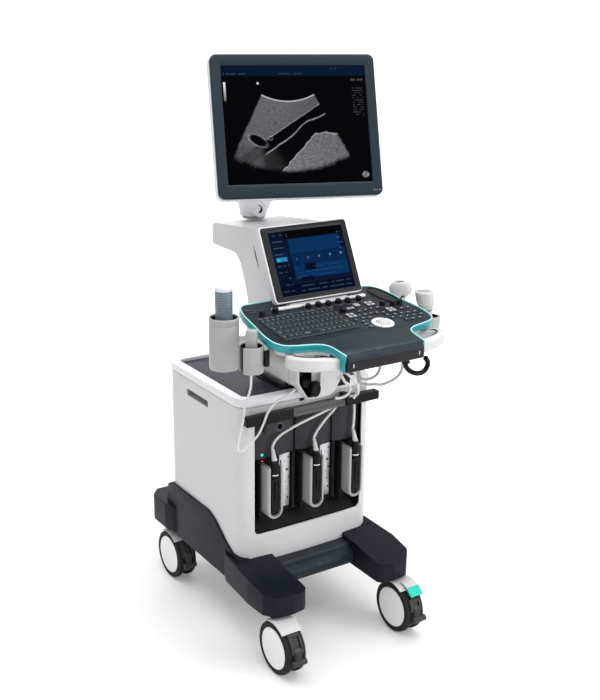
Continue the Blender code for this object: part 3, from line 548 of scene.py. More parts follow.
WHITE = plastic("satin_white", (0.67, 0.67, 0.68), 0.36, var=0.02, rvar=0.05, grain=1100, bump=0.06, wear_and_highlight=0.10, cloud=3)
GLOSS = plastic("gloss_white", (0.84, 0.84, 0.865), 0.20, var=0.015, rvar=0.05, grain=1500, bump=0.02, wear_and_highlight=0.08,
                coat=0.4, cloud=3)
# wheel disc white is set brighter than the other whites to offset the shade near the floor: painted light
DISC_PAINTED_LIGHT = plastic("wheel_disc_painted_light", (0.93, 0.93, 0.93), 0.30, var=0.015, rvar=0.05, grain=1200, bump=0.03, wear_and_highlight=0.05)
SOFT_WHITE = plastic("grip_white", (0.66, 0.66, 0.655), 0.42, var=0.03, rvar=0.06, grain=700, bump=0.12, wear_and_highlight=0.15)
NAVY = plastic("base_navy", (0.0042, 0.0072, 0.0140), 0.38, var=0.06, rvar=0.05, grain=900, bump=0.08, wear_and_highlight=0.35,
               wear_and_highlight_colour=(0.040, 0.052, 0.072))
SLATE = plastic("console_slate", (0.0095, 0.0175, 0.0240), 0.40, var=0.08, rvar=0.07, grain=900, bump=0.14, wear_and_highlight=0.25,
                wear_and_highlight_colour=(0.13, 0.16, 0.18))
# palm rest slate is a lighter copy of the console slate: painted reflection on the palm rest
PALM_SLATE_PAINTED_SHEEN = plastic("palm_rest_slate_painted_sheen", (0.0160, 0.0260, 0.0340), 0.38, var=0.06, rvar=0.08, grain=620, bump=0.22, wear_and_highlight=0.35,
               wear_and_highlight_colour=(0.20, 0.24, 0.27))
FASCIA = plastic("front_fascia", (0.0200, 0.0200, 0.0230), 0.34, var=0.08, grain=1200, bump=0.08, wear_and_highlight=0.3)
INLAY = plastic("top_inlay_slate", (0.0300, 0.0360, 0.0520), 0.42, var=0.10, rvar=0.10, grain=520, bump=0.25, wear_and_highlight=0.1,
                upward_grey_patches=0.05)
BEZEL = plastic("bezel_slate", (0.0200, 0.0310, 0.0400), 0.30, var=0.06, rvar=0.06, grain=1300, bump=0.06, wear_and_highlight=0.18,
                wear_and_highlight_colour=(0.14, 0.17, 0.19))
TOUCH_FRAME = plastic("touch_frame", (0.0180, 0.0190, 0.0220), 0.30, var=0.06, grain=1300, bump=0.06, wear_and_highlight=0.25)
DARK = plastic("dark_plastic", (0.0050, 0.0050, 0.0060), 0.45, var=0.12, grain=900, bump=0.15, wear_and_highlight=0.35,
               wear_and_highlight_colour=(0.06, 0.06, 0.065))
BLACK_GLOSS = plastic("black_gloss", (0.0035, 0.0035, 0.0045), 0.14, var=0.1, grain=1500, bump=0.02, wear_and_highlight=0.2)
BAY = plastic("bay_grey", (0.0400, 0.0390, 0.0450), 0.42, var=0.10, grain=800, bump=0.16, wear_and_highlight=0.25)
HATCH = plastic("hatch_grey", (0.0850, 0.0840, 0.0880), 0.40, var=0.10, grain=800, bump=0.16, wear_and_highlight=0.25)
GREY = plastic("grey_plastic", (0.34, 0.34, 0.345), 0.38, var=0.05, grain=900, bump=0.12, wear_and_highlight=0.30)
MID_GREY = plastic("mid_grey_plastic", (0.085, 0.085, 0.088), 0.42, var=0.08, grain=900, bump=0.14, wear_and_highlight=0.35)
CASTER_GREY = plastic("caster_grey", (0.0420, 0.0420, 0.0430), 0.40, var=0.10, grain=600, bump=0.18, wear_and_highlight=0.45,
                      wear_and_highlight_colour=(0.17, 0.17, 0.17))
TYRE = plastic("tyre_rubber", (0.0170, 0.0170, 0.0160), 0.62, var=0.14, rvar=0.10, grain=420, bump=0.35, wear_and_highlight=0.25,
               wear_and_highlight_colour=(0.10, 0.10, 0.10), upward_grey_patches=0.0)
TEAL = plastic("teal_trim", (0.0, 0.285, 0.325), 0.24, var=0.05, grain=1300, bump=0.03, wear_and_highlight=0.25, coat=0.5,
               wear_and_highlight_colour=(0.15, 0.62, 0.65))
# pale cyan colour of the strip along the teal band's top: painted highlight
TEAL_HIGHLIGHT = plastic("teal_trim_painted_highlight", (0.42, 0.86, 0.86), 0.16, var=0.04, grain=1500, bump=0.02, wear_and_highlight=0.2, coat=0.6)
PEDAL = plastic("pedal_turquoise", (0.010, 0.63, 0.47), 0.32, var=0.06, grain=800, bump=0.12, wear_and_highlight=0.3)
PROBE = plastic("probe_white", (0.60, 0.60, 0.585), 0.30, var=0.03, grain=1400, bump=0.05, wear_and_highlight=0.12)
PROBE_GREY = plastic("probe_grip_grey", (0.36, 0.36, 0.36), 0.45, var=0.05, grain=700, bump=0.2, wear_and_highlight=0.2)
LENS = plastic("acoustic_lens", (0.10, 0.10, 0.105), 0.5, var=0.08, grain=500, bump=0.1, wear_and_highlight=0.1)
CABLE = plastic("cable_white", (0.74, 0.74, 0.73), 0.40, var=0.04, grain=600, bump=0.2, wear_and_highlight=0.05)
CABLE_GREY = plastic("cable_grey", (0.40, 0.40, 0.40), 0.42, var=0.05, grain=600, bump=0.2, wear_and_highlight=0.05)
CUP_GREY = plastic("cup_grey", (0.42, 0.42, 0.41), 0.32, var=0.04, rvar=0.08, grain=900, bump=0.10, wear_and_highlight=0.2)
KEY = plastic("key_cap", (0.0095, 0.0125, 0.0160), 0.42, var=0.10, grain=1200, bump=0.12, wear_and_highlight=0.5,
              wear_and_highlight_colour=(0.20, 0.23, 0.25))
KNOB = plastic("knob_black", (0.006, 0.006, 0.008), 0.32, var=0.12, grain=1100, bump=0.12, wear_and_highlight=0.4,
               wear_and_highlight_colour=(0.05, 0.05, 0.055))
STEEL = brushed("brushed_steel", (0.58, 0.59, 0.61), 0.28)
ALLOY = brushed("column_alloy", (0.66, 0.67, 0.69), 0.34, lines=500)
CHROME = brushed("bright_steel", (0.75, 0.75, 0.77), 0.16, lines=300)
CASE = plastic("module_case", (0.20, 0.21, 0.22), 0.42, var=0.08, grain=500, bump=0.15, wear_and_highlight=0.5, metal=0.6)
# glowing key tops: painted highlight, not a lamp
KEY_TOP_HIGHLIGHT_GLOW = glow("key_tops_painted_highlight_glow", (0.42, 0.46, 0.48), 0.24)
LIT_MARK = glow("lit_mark", (0.60, 0.66, 0.70), 0.35)
LED_TEAL = glow("led_teal", (0.05, 0.55, 0.50), 1.2)
LED_RED = glow("led_red", (0.70, 0.05, 0.03), 1.0)


def bottle_material():
    """Ribbed blue-grey bottle, slightly clear; the ribs' light and shade are painted into its colour."""
    m, nt, bsdf = start_material("bottle_blue")
    vec = nt.nodes.new("ShaderNodeTexCoord").outputs["Object"]
    sep = nt.nodes.new("ShaderNodeSeparateXYZ")
    nt.links.new(vec, sep.inputs[0])
    z = Num(nt, sep.outputs[2])
    rib = ((z * (math.tau / 0.0062)).sin() * 0.5 + 0.5)
    cloud = tex_noise(nt, vec, 22.0, 3.0)
    # light and dark colour bands along the ribs: painted shading of the ribs
    base = mix_colour(nt, (0.105, 0.140, 0.165), (0.21, 0.265, 0.30), (rib * 0.35 + cloud * 0.75).step(0.15, 0.95))
    nt.links.new(base, bsdf.inputs["Base Color"])
    bsdf.inputs["Roughness"].default_value = 0.28
    nt.links.new((0.26 + cloud * 0.12).socket, bsdf.inputs["Roughness"])
    bsdf.inputs["Subsurface Weight"].default_value = 0.2
    bsdf.inputs["Subsurface Radius"].default_value = (0.006, 0.008, 0.010)
    finish_surface(nt, bsdf, None, 0, rib, rib, 0.35, 0.0008)
    return m


def coords(nt):
    vec = nt.nodes.new("ShaderNodeTexCoord").outputs["Object"]
    sep = nt.nodes.new("ShaderNodeSeparateXYZ")
    nt.links.new(vec, sep.inputs[0])
    return vec, Num(nt, sep.outputs[0]), Num(nt, sep.outputs[1])


def screen_base(m, nt, bsdf, colour, strength):
    bsdf.inputs["Base Color"].default_value = (0.0012, 0.0012, 0.0015, 1)
    bsdf.inputs["Roughness"].default_value = 0.22
    bsdf.inputs["Specular IOR Level"].default_value = 0.01
    bsdf.inputs["IOR"].default_value = 1.12
    nt.links.new(colour, bsdf.inputs["Emission Color"])
    bsdf.inputs["Emission Strength"].default_value = strength
    vec = nt.nodes.new("ShaderNodeTexCoord").outputs["Object"]
    smear = tex_noise(nt, vec, 14.0, 4.0, 0.6)
    nt.links.new((0.16 + smear * 0.14).socket, bsdf.inputs["Roughness"])
    return m


def text_bars(x, y, vec, nt, x0, x1, y0, y1, pitch, fill=0.45, seed=0.0, word=0.0045):
    """Rows of small broken dashes that stand for lines of text."""
    row = ((y - y0) / pitch)
    line = row.fract().between(0.5 - fill / 2, 0.5 + fill / 2, 0.08)
    cell = nt.nodes.new("ShaderNodeCombineXYZ")
    nt.links.new((x / word + seed).floor().socket, cell.inputs[0])
    nt.links.new((row.floor() + seed).socket, cell.inputs[1])
    w = nt.nodes.new("ShaderNodeTexWhiteNoise")
    w.noise_dimensions = '3D'
    nt.links.new(cell.outputs[0], w.inputs[0])
    present = Num(nt, w.outputs[0]).step(0.25, 0.35)
    glyph = ((x / (word * 0.23)).fract()).between(0.15, 0.8, 0.15)
    return line * present * (0.35 + glyph * 0.65) * x.between(x0, x1) * y.between(y0, y1)


def picture_material(hw, hh):
    """Generic convex-sector scan on a black page; x runs right and y up in metres from the picture's middle."""
    m, nt, bsdf = start_material("scan_picture")
    vec, x, y = coords(nt)
    ax, ay = -0.0195, 0.205
    dx, dy = x - ax, (y - ay) * -1.0
    r = (dx * dx + dy * dy).sqrt()
    th = dx.op('ARCTAN2', dy)
    # speckle lies along arcs: finer in depth than across
    comb = nt.nodes.new("ShaderNodeCombineXYZ")
    nt.links.new((th * 150.0).socket, comb.inputs[0])
    nt.links.new((r * 1500.0).socket, comb.inputs[1])
    speck = tex_noise(nt, comb.outputs[0], 1.0, 3.0, 0.7)
    comb2 = nt.nodes.new("ShaderNodeCombineXYZ")
    nt.links.new((th * 28.0).socket, comb2.inputs[0])
    nt.links.new((r * 210.0).socket, comb2.inputs[1])
    patch = tex_noise(nt, comb2.outputs[0], 1.0, 3.0, 0.6)
    wob = (tex_noise(nt, vec, 55.0, 3.0, 0.6) - 0.5) * 0.010
    wob2 = (tex_noise(nt, vec, 120.0, 2.0, 0.6) - 0.5) * 0.006
    depth0 = (r - 0.145) / 0.18
    left_trim = (x + (tex_noise(nt, vec, 60.0, 2.0, 0.6) - 0.5) * 0.020).step(-0.174, -0.156)
    rag = (tex_noise(nt, vec, 38.0, 3.0, 0.65) - 0.5)
    sector = r.step(0.1443, 0.1450) * (1.0 - (r + rag * 0.016).step(0.316, 0.330)) * (1.0 - (th.abs() + rag * 0.035 * depth0.step(0.1, 0.4)).step(0.470, 0.497)) * left_trim
    # boundaries, as heights over x
    l1 = x * 0.626 + 0.0127 + wob2
    hump = 1.0 - ((x - 0.022) / 0.045).abs().step(0.0, 1.0)
    l2 = x * 0.628 - 0.0192 + hump * 0.011 + wob * 0.6
    l3 = ((x - 0.0459) * 0.10 - 0.0225 - ((x - 0.062) / 0.075).abs().max(0.0) * 0.016).min(x * 1.02 - 0.0700) + wob * 1.7 + rag * 0.010
    above1 = (y - l1).step(-0.0006, 0.0012)
    below2 = 1.0 - (y - l2).step(-0.0020, 0.0015)
    left_low = below2 * (1.0 - (x + 0.055 + (y + 0.09) * 0.6).step(-0.020, 0.030))
    below3 = 1.0 - (y - l3).step(-0.0010, 0.0012)
    depth = (r - 0.145) / 0.18
    tissue1 = above1 * (0.145 + (1.0 - depth) * 0.05)
    tissue2 = below3 * (0.20 + patch * 0.14)
    tissue3 = left_low * 0.030
    corner = (1.0 - x.step(-0.104, -0.084)) * (1.0 - y.step(-0.066, -0.046))
    body = (tissue1 * (1.0 - corner * 0.75) + tissue2 * (1.0 - above1) + tissue3 * (1.0 - below3) * (1.0 - above1)) + corner * 0.075
    body = body * (0.12 + speck * speck * 2.3) * (0.30 + patch * 1.35)
    line1 = (y - l1).near(0.0003, 0.0022) * x.step(-0.095, -0.06) * (0.04 + patch * speck * 0.85)
    line2 = (y - l2).near(-0.0010, 0.0032) * x.step(-0.095, -0.075) * (1.0 - x.step(0.070, 0.082)) * (0.12 + speck * patch * 0.75)
    line3 = (y - l3).near(-0.0010, 0.0028) * (0.16 + patch * 0.2)
    # vessel: a tilted dark oval with a bright wall
    vx, vy = x + 0.105, y + 0.0400
    va = (vx * 0.87 - vy * 0.50) / 0.024
    vb = (vx * 0.50 + vy * 0.87) / 0.0115
    vr = (va * va + vb * vb).sqrt() + wob * 18.0
    hole = 1.0 - vr.step(0.90, 1.02)
    wall = vr.near(1.10, 0.30) * (0.0 + speck * patch * 0.42 * (0.35 + (0.65 - (vb * 0.5 + 0.5).step(0.2, 0.8) * 0.65)))
    small = ((x + 0.0720) * (x + 0.0720) + (y + 0.0345) * (y + 0.0345)).sqrt()
    wall = wall + small.near(0.0048, 0.0030) * speck * 0.18
    dots = tex_noise(nt, vec, 42.0, 1.0).step(0.66, 0.74) * 0.6
    body = body * (1.0 - dots * above1)
    shade = (1.0 - (th + 0.32).abs().step(0.0, 0.9) * 0.25)
    near_field = r.near(0.1466, 0.0026) * (0.22 + speck * 0.42)
    img = ((body + line1 + line2 + line3) * shade * (1.0 - hole) * (1.0 - small.near(0.0, 0.0040) * 0.8)
           + wall + near_field) * sector
    # marker dot, grey wedge, header and side notes
    dot = ((x + 0.0955) * (x + 0.0955) + (y - 0.1050) * (y - 0.1050)).sqrt()
    extra = (1.0 - dot.step(0.0020, 0.0042)) * 0.6
    wedge = x.between(-0.1835, -0.1780, 0.0006) * y.between(0.060, 0.108, 0.0006) * (y - 0.055) / 0.053
    extra = extra + wedge * 0.9
    extra = extra + text_bars(x, y, vec, nt, 0.150, 0.178, 0.020, 0.096, 0.0062, 0.42, 3.0, 0.0050) * 0.045
    extra = extra + text_bars(x, y, vec, nt, 0.148, 0.182, 0.108, 0.118, 0.010, 0.5, 9.0, 0.0050) * 0.075
    extra = extra + text_bars(x, y, vec, nt, -0.183, -0.120, 0.124, 0.136, 0.010, 0.35, 5.0, 0.0060) * 0.040
    extra = extra + text_bars(x, y, vec, nt, -0.040, 0.025, 0.124, 0.136, 0.010, 0.35, 7.0, 0.0060) * 0.034
    extra = extra + text_bars(x, y, vec, nt, 0.092, 0.112, 0.137, 0.147, 0.010, 0.35, 1.0, 0.0060) * 0.045
    icon = ((x - 0.171) * (x - 0.171) + ((y + 0.132) * (y + 0.132)) * 1.3).sqrt()
    extra = extra + (1.0 - icon.step(0.0085, 0.0105)) * (0.06 + tex_noise(nt, vec, 320.0, 2.0).step(0.42, 0.6) * 0.30)
    grey = img + extra
    head = y.between(0.1235, hh + 0.01, 0.0030)
    page = mix_colour(nt, (0.0006, 0.0007, 0.0010), (0.0010, 0.0085, 0.026), head)
    cc = nt.nodes.new("ShaderNodeCombineColor")
    nt.links.new((grey * 0.98).socket, cc.inputs[0])
    nt.links.new(grey.socket, cc.inputs[1])
    nt.links.new((grey * 1.04).socket, cc.inputs[2])
    add = nt.nodes.new("ShaderNodeMix")
    add.data_type = 'RGBA'
    add.blend_type = 'ADD'
    add.inputs[0].default_value = 1.0
    nt.links.new(page, add.inputs[6])
    nt.links.new(cc.outputs[0], add.inputs[7])
    return screen_base(m, nt, bsdf, add.outputs[2], 1.0)


def menu_material(x0, x1, y0, y1):
    """Generic touch menu: panels, tabs and small marks.  Local metres."""
    m, nt, bsdf = start_material("touch_menu")
    vec, px, py = coords(nt)
    x = (px - x0) / (x1 - x0)
    y = (py - y0) / (y1 - y0)
    cloud = tex_noise(nt, vec, 18.0, 3.0)

    def area(a, b, c, d, soft=0.006):
        return x.between(a, b, soft) * y.between(c, d, soft)

    c = mix_colour(nt, (0.0012, 0.0045, 0.016), (0.0016, 0.0085, 0.030), cloud.step(0.3, 0.7))
    c = mix_colour(nt, c, (0.0008, 0.0008, 0.0016), area(0.20, 1.05, 0.875, 1.05))
    c = mix_colour(nt, c, (0.0015, 0.028, 0.105), area(0.235, 0.93, 0.63, 0.865, 0.012))
    c = mix_colour(nt, c, (0.0012, 0.020, 0.075), area(0.235, 0.97, 0.47, 0.62, 0.012))
    c = mix_colour(nt, c, (0.0015, 0.029, 0.110), area(0.235, 0.97, 0.235, 0.46, 0.012))
    c = mix_colour(nt, c, (0.0008, 0.0016, 0.012), area(0.38, 0.53, 0.36, 0.46, 0.014))
    c = mix_colour(nt, c, (0.0010, 0.0030, 0.020), area(0.30, 0.48, 0.205, 0.265, 0.014))
    c = mix_colour(nt, c, (0.0012, 0.0030, 0.018), area(0.0, 1.0, 0.0, 0.165, 0.012))
    c = mix_colour(nt, c, (0.0060, 0.0100, 0.050), area(0.19, 1.0, 0.188, 0.196, 0.004))
    c = mix_colour(nt, c, (0.020, 0.23, 0.42), area(0.035, 0.175, 0.535, 0.600, 0.012))
    c = mix_colour(nt, c, (0.060, 0.42, 0.60), area(0.040, 0.080, 0.545, 0.590, 0.010))
    c = mix_colour(nt, c, (0.0018, 0.010, 0.050), area(0.03, 0.19, 0.61, 0.68, 0.012))
    for k in range(5):
        u = 0.30 + 0.152 * k
        v = 0.545 + 0.004 * k
        d = ((x - u) * (x - u) * 1.8 + (y - v) * (y - v)).sqrt()
        c = mix_colour(nt, c, (0.30, 0.46, 0.60), (1.0 - d.step(0.010, 0.026)) * (0.12 + 0.12 * k))
    marks = (text_bars(px, py, vec, nt, x0 + 0.006, x0 + 0.040, y0 + 0.100, y1 - 0.008, 0.0165, 0.16, 2.0, 0.0060)
             + text_bars(px, py, vec, nt, x0 + 0.006, x0 + 0.040, y0 + 0.004, y0 + 0.080, 0.0165, 0.14, 4.0, 0.0060)
             + text_bars(px, py, vec, nt, x0 + 0.060, x1 - 0.010, y0 + 0.004, y0 + 0.027, 0.0115, 0.18, 6.0, 0.0075)
             + text_bars(px, py, vec, nt, x0 + 0.055, x1 - 0.012, y0 + 0.040, y0 + 0.074, 0.0110, 0.12, 8.0, 0.0110) * 0.6
             + text_bars(px, py, vec, nt, x1 - 0.022, x1 - 0.006, y0 + 0.100, y1 - 0.006, 0.0140, 0.22, 1.0, 0.0060)
             + area(0.232, 0.240, 0.90, 0.955, 0.004))
    c = mix_colour(nt, c, (0.10, 0.17, 0.27), marks * 0.50)
    grid = (x * 8.0).fract().near(0.5, 0.035) * area(0.235, 0.97, 0.235, 0.62, 0.004)
    c = mix_colour(nt, c, (0.0010, 0.012, 0.045), grid * 0.7)
    return screen_base(m, nt, bsdf, c, 1.0)


def key_material():
    """Dark caps with a small pale mark in one corner of each cap and a lighter band round each cap's edge as painted
    highlight (UV runs 0 to 1 over a cap).
    """
    m, nt, bsdf = start_material("key_caps_marked")
    vec = nt.nodes.new("ShaderNodeTexCoord")
    sep = nt.nodes.new("ShaderNodeSeparateXYZ")
    nt.links.new(vec.outputs["UV"], sep.inputs[0])
    u, v = Num(nt, sep.outputs[0]), Num(nt, sep.outputs[1])
    n = tex_noise(nt, vec.outputs["Object"], 700.0, 2.0)
    big = tex_noise(nt, vec.outputs["Object"], 30.0, 3.0)
    mark = u.between(0.22, 0.46, 0.05) * v.between(0.52, 0.80, 0.05) * (u * 9.0).fract().between(0.1, 0.75, 0.15)
    # lighter band round each cap's edge and sides: painted highlight
    rim = 1.0 - (u.between(0.07, 0.93, 0.03) * v.between(0.07, 0.93, 0.03))
    base = mix_colour(nt, (0.0085, 0.0115, 0.0150), (0.0150, 0.0200, 0.0250), (n * 0.4 + big * 0.6).step(0.3, 0.7))
    base = mix_colour(nt, base, (0.070, 0.090, 0.102), rim * 0.75)
    base = mix_colour(nt, base, (0.25, 0.30, 0.32), mark)
    nt.links.new(base, bsdf.inputs["Base Color"])
    bsdf.inputs["Specular IOR Level"].default_value = 0.25
    nt.links.new(mix_colour(nt, (0, 0, 0), (0.5, 0.55, 0.58), mark), bsdf.inputs["Emission Color"])
    bsdf.inputs["Emission Strength"].default_value = 0.03
    nt.links.new((0.36 + n * 0.14).socket, bsdf.inputs["Roughness"])
    finish_surface(nt, bsdf, None, 0, n, n, 0.10, 0.0001)
    return m


BOTTLE = bottle_material()
KEYCAPS = key_material()

# ------------------------------------------------------------------ shared dimensions (design frame)
GAP = 0.0003
CAB_X, CAB_Y0, CAB_Y1, CAB_R = 0.212, -0.120, 0.292, 0.040
CAB_Z0, CAB_Z1 = 0.222, 0.668
CAB_LINE = rounded_rect(-CAB_X, CAB_Y0, CAB_X, CAB_Y1, CAB_R, 14, 0.006, 26)
CONSOLE_TILT = math.radians(8.48)
CONSOLE_REF = (0.0, -0.127, 0.936)
K = Matrix.Translation(CONSOLE_REF) @ Matrix.Rotation(CONSOLE_TILT, 4, 'X')
TOUCH_TILT = math.radians(26.6)
TN = Vector((0, -math.cos(TOUCH_TILT), math.sin(TOUCH_TILT)))
TV = Vector((0, math.sin(TOUCH_TILT), math.cos(TOUCH_TILT)))
TC = (0.0, -0.1205, 1.037)
TM = Matrix(((1, 0, 0, TC[0]), (0, TV.y, TN.y, TC[1]), (0, TV.z, TN.z, TC[2]), (0, 0, 0, 1)))
MON_YAW, MON_PITCH = math.radians(-19.3), math.radians(19.9)
MON_C = (0.0139, -0.0284, 1.3686)
MU = Vector((math.cos(MON_YAW), math.sin(MON_YAW), 0))
MN = Vector((math.sin(MON_YAW) * math.cos(MON_PITCH), -math.cos(MON_YAW) * math.cos(MON_PITCH), math.sin(MON_PITCH)))
MV = MN.cross(MU)
MM = Matrix(((MU.x, MV.x, MN.x, MON_C[0]), (MU.y, MV.y, MN.y, MON_C[1]), (MU.z, MV.z, MN.z, MON_C[2]), (0, 0, 0, 1)))
TILT_P = MM @ Vector((0, 0, -0.066))
MH = Vector((math.sin(MON_YAW), -math.cos(MON_YAW), 0))
PAN_Q = TILT_P - 0.024 * MH
NECK = Vector((0.0, 0.165))
HW, HH = 0.188, 0.1505


def plan(x, y, z=0.0):
    return (x, (y - CONSOLE_REF[1]) / math.cos(CONSOLE_TILT), z)


# ------------------------------------------------------------------ monitor
def monitor():
    w, t, b = HW + 0.026, HH + 0.029, HH + 0.035
    # front frame: rounded outside, softly dished toward the picture
    rings = []
    outer = rounded_rect(-w, -b, w, t, 0.017, 12)
    inner = rounded_rect(-HW, -HH, HW, HH, 0.0015, 12)

    def ring(pts, z):
        return [(p[0], p[1], z) for p in pts]

    steps = [(outer, 0.0, -0.0120), (outer, 0.0, -0.0022), (outer, -0.0006, -0.0004), (outer, -0.0019, 0.0010),
             (outer, -0.0038, 0.0017), (outer, -0.0062, 0.0020)]
    rings = [ring(offset(o, d), z) for o, d, z in steps]
    rings += [ring(offset(inner, 0.0075), 0.0019), ring(offset(inner, 0.0030), 0.0012), ring(offset(inner, 0.0008), 0.0004),
              ring(inner, -0.0010), ring(inner, -0.0120)]
    bm = bmesh.new()
    rows = [[bm.verts.new(p) for p in r] for r in rings]
    n = len(rows[0])
    for a, c in zip(rows, rows[1:] + rows[:1]):
        for i in range(n):
            bm.faces.new((a[i], a[(i + 1) % n], c[(i + 1) % n], c[i]))
    piece("monitor_front_frame", link_mesh("f", bm), BEZEL, "monitor", at_frame=MM, instead_of=("monitor_bezel",),
          smooth=50)

    # picture, glass edge and a small status light
    pic = box((-HW + 0.0004, -HH + 0.0004, -0.0110), (HW - 0.0004, HH - 0.0004, -0.0012), 0.0006, 2)
    piece("monitor_picture", pic, picture_material(HW, HH), "monitor", at_frame=MM, instead_of=("monitor_screen",))
    led = join(*[ball(0.0011, (0.190 + 0.007 * k, -b + 0.013, 0.0019), 12, 8, (1.0, 1.0, 0.5)) for k in range(3)])
    piece("monitor_touch_keys", led, LIT_MARK, "monitor", at_frame=MM)

    # rear shell: crowned back with a shoulder, a vent field and a parting line
    rr = [(0.0004, -0.0123, 0.0175), (0.0022, -0.0150, 0.0185), (0.0030, -0.0200, 0.0190), (0.0030, -0.0310, 0.0190), (0.0016, -0.0350, 0.0190), (-0.0020, -0.0385, 0.0190),
          (-0.0080, -0.0418, 0.0200), (-0.0180, -0.0445, 0.0240), (-0.0400, -0.0475, 0.0300), (-0.0800, -0.0492, 0.0330),
          (-0.1200, -0.0499, 0.0280)]
    rings = []
    for d, z, r in rr:
        base = rounded_rect(-w - d, -b + 0.001 - d, w + d, t - 0.001 + d, max(r, 0.004), 12)
        rings.append([(p[0], p[1], z) for p in base])
    shell = loft(rings)
    feet = [box((s * 0.0412 - 0.0038, -0.0136, -0.0647), (s * 0.0412 + 0.0038, 0.0136, -0.0450), 0.0012, 2) for s in (1, -1)]
    lugs = [cyl(0.0140, 0.0080, (s * 0.0412, 0, -0.066), (1, 0, 0), 40, bevel=0.0012) for s in (1, -1)]
    pin = cyl(0.0040, 0.0840, (0, 0, -0.066), (1, 0, 0), 24)
    piece("monitor_rear_shell", shell, GLOSS, "monitor", at_frame=MM, instead_of=("monitor_shell",),
          smooth=40)
    piece("monitor_hinge_lugs", join(*lugs, *feet), SOFT_WHITE, "monitor", at_frame=MM)
    piece("monitor_hinge_pin", pin, STEEL, "monitor", at_frame=MM)
    vents = []
    for k in range(11):
        y = 0.060 + 0.0068 * k
        half = 0.085 - 0.0016 * k
        vents.append(box((-half, y - 0.0011, -0.0502), (half, y + 0.0011, -0.0485), 0.0006, 2))
    piece("monitor_rear_vents", join(*vents), MID_GREY, "monitor", at_frame=MM)
    plate = prism(rounded_rect(-0.060, -0.034, 0.060, 0.034, 0.010, 8), 0.0022, at(z=-0.0503), bevel=0.0008)
    screws = [cyl(0.0034, 0.0024, (sx * 0.050, sy * 0.026, -0.0518), (0, 0, 1), 20, bevel=0.0006) for sx in (1, -1)
              for sy in (1, -1)]
    piece("monitor_mount_plate", plate, GREY, "monitor", at_frame=MM)
    piece("monitor_mount_screws", join(*screws), CHROME, "monitor", at_frame=MM)
    ports = [box((x - 0.008, -b + 0.030, -0.0497), (x + 0.008, -b + 0.036, -0.0480), 0.0008, 2) for x in (-0.03, 0.0, 0.03)]
    piece("monitor_ports", join(*ports), DARK, "monitor", at_frame=MM)

    # tilt head between arm and monitor
    head = union(cyl(0.0160, 0.0440, (PAN_Q.x, PAN_Q.y, 1.3325), n=48, bevel=0.0022),
                 cyl(0.0110, 0.0700, TILT_P, MU, 40, bevel=0.0015))
    yawm = Matrix.Translation(TILT_P) @ Matrix.Rotation(MON_YAW, 4, 'Z')
    head = union(head, box((-0.0120, 0.0, -0.0090), (0.0120, 0.0180, 0.0080), 0.002, matrix=yawm))
    piece("monitor_swivel_head", head, MID_GREY, "tilt_head", edge=0.0006, instead_of=("monitor_tilt_head",))


def monitor_arm():
    q = Vector((PAN_Q.x, PAN_Q.y))
    d = (q - NECK).normalized()
    e = Vector((-d.y, d.x))

    def ring(t, z, a, b, dx, m=40):
        c = NECK.lerp(q, t) + Vector((dx, 0.0))
        out = []
        for k in range(m):
            w = math.tau * k / m
            ca, sa = math.cos(w), math.sin(w)
            u = a * math.copysign(abs(ca) ** 0.62, ca)
            v = b * math.copysign(abs(sa) ** 0.62, sa)
            out.append((c.x + e.x * u + d.x * v, c.y + e.y * u + d.y * v, z))
        return out

    keys = [(0.0, 1.1085, 0.0335, 0.0285, -0.0030), (0.01, 1.1125, 0.0350, 0.0290, -0.0035), (0.10, 1.128, 0.0460, 0.0280, -0.0090),
            (0.24, 1.165, 0.0660, 0.0240, -0.0150), (0.45, 1.215, 0.0660, 0.0180, -0.0090), (0.70, 1.265, 0.056, 0.015, -0.0020),
            (0.92, 1.297, 0.034, 0.016, 0.0), (1.0, 1.3080, 0.020, 0.017, 0.0), (1.0, 1.3098, 0.0185, 0.0155, 0.0)]
    fine = catmull(keys, 5)
    piece("monitor_arm_cover", loft([ring(*k) for k in fine]), GLOSS, "screen_arm",
          instead_of=("monitor_arm",), smooth=60)
    piece("monitor_arm_collar", union(cyl(0.0315, 0.0085, (NECK.x, NECK.y, 1.1035), n=64, bevel=0.0018),
                                      cyl(0.0270, 0.0140, (NECK.x, NECK.y, 1.1060), n=64)), GREY, "screen_arm", edge=0.0005)
    # cable boss on the arm's front, with the cable's dark mouth curling round it
    nz = Vector((-0.523, -0.793, 0.305)).normalized()
    nx = Vector((0.835, -0.551, 0.0)).normalized()
    ny = nz.cross(nx)
    bc = Vector((-0.0137, 0.1150, 1.1316))
    m = Matrix(((nx.x, ny.x, nz.x, bc.x), (nx.y, ny.y, nz.y, bc.y), (nx.z, ny.z, nz.z, bc.z), (0, 0, 0, 1)))
    boss = lathe([(0.0, -0.0420), (0.0205, -0.0420), (0.0212, -0.0040), (0.0204, 0.0006), (0.0180, 0.0024), (0.0150, 0.0030),
                  (0.0, 0.0034)], 64, m)
    piece("arm_cable_boss", boss, GLOSS, "screen_arm", smooth=50)
    lip = []
    for k in range(25):
        a = math.radians(122 - 190 * k / 24)
        lip.append(m @ Vector((0.0108 * math.cos(a) - 0.0035, 0.0108 * math.sin(a) - 0.0005, 0.0026)))
    tap = [0.30 + 0.30 * k / 12 if k < 12 else 0.6 + 0.8 * math.sin(math.pi * (k - 12) / 14) for k in range(25)]
    piece("arm_cable_mouth", wire(lip, 0.0023, 3, tap), DARK, "screen_arm")


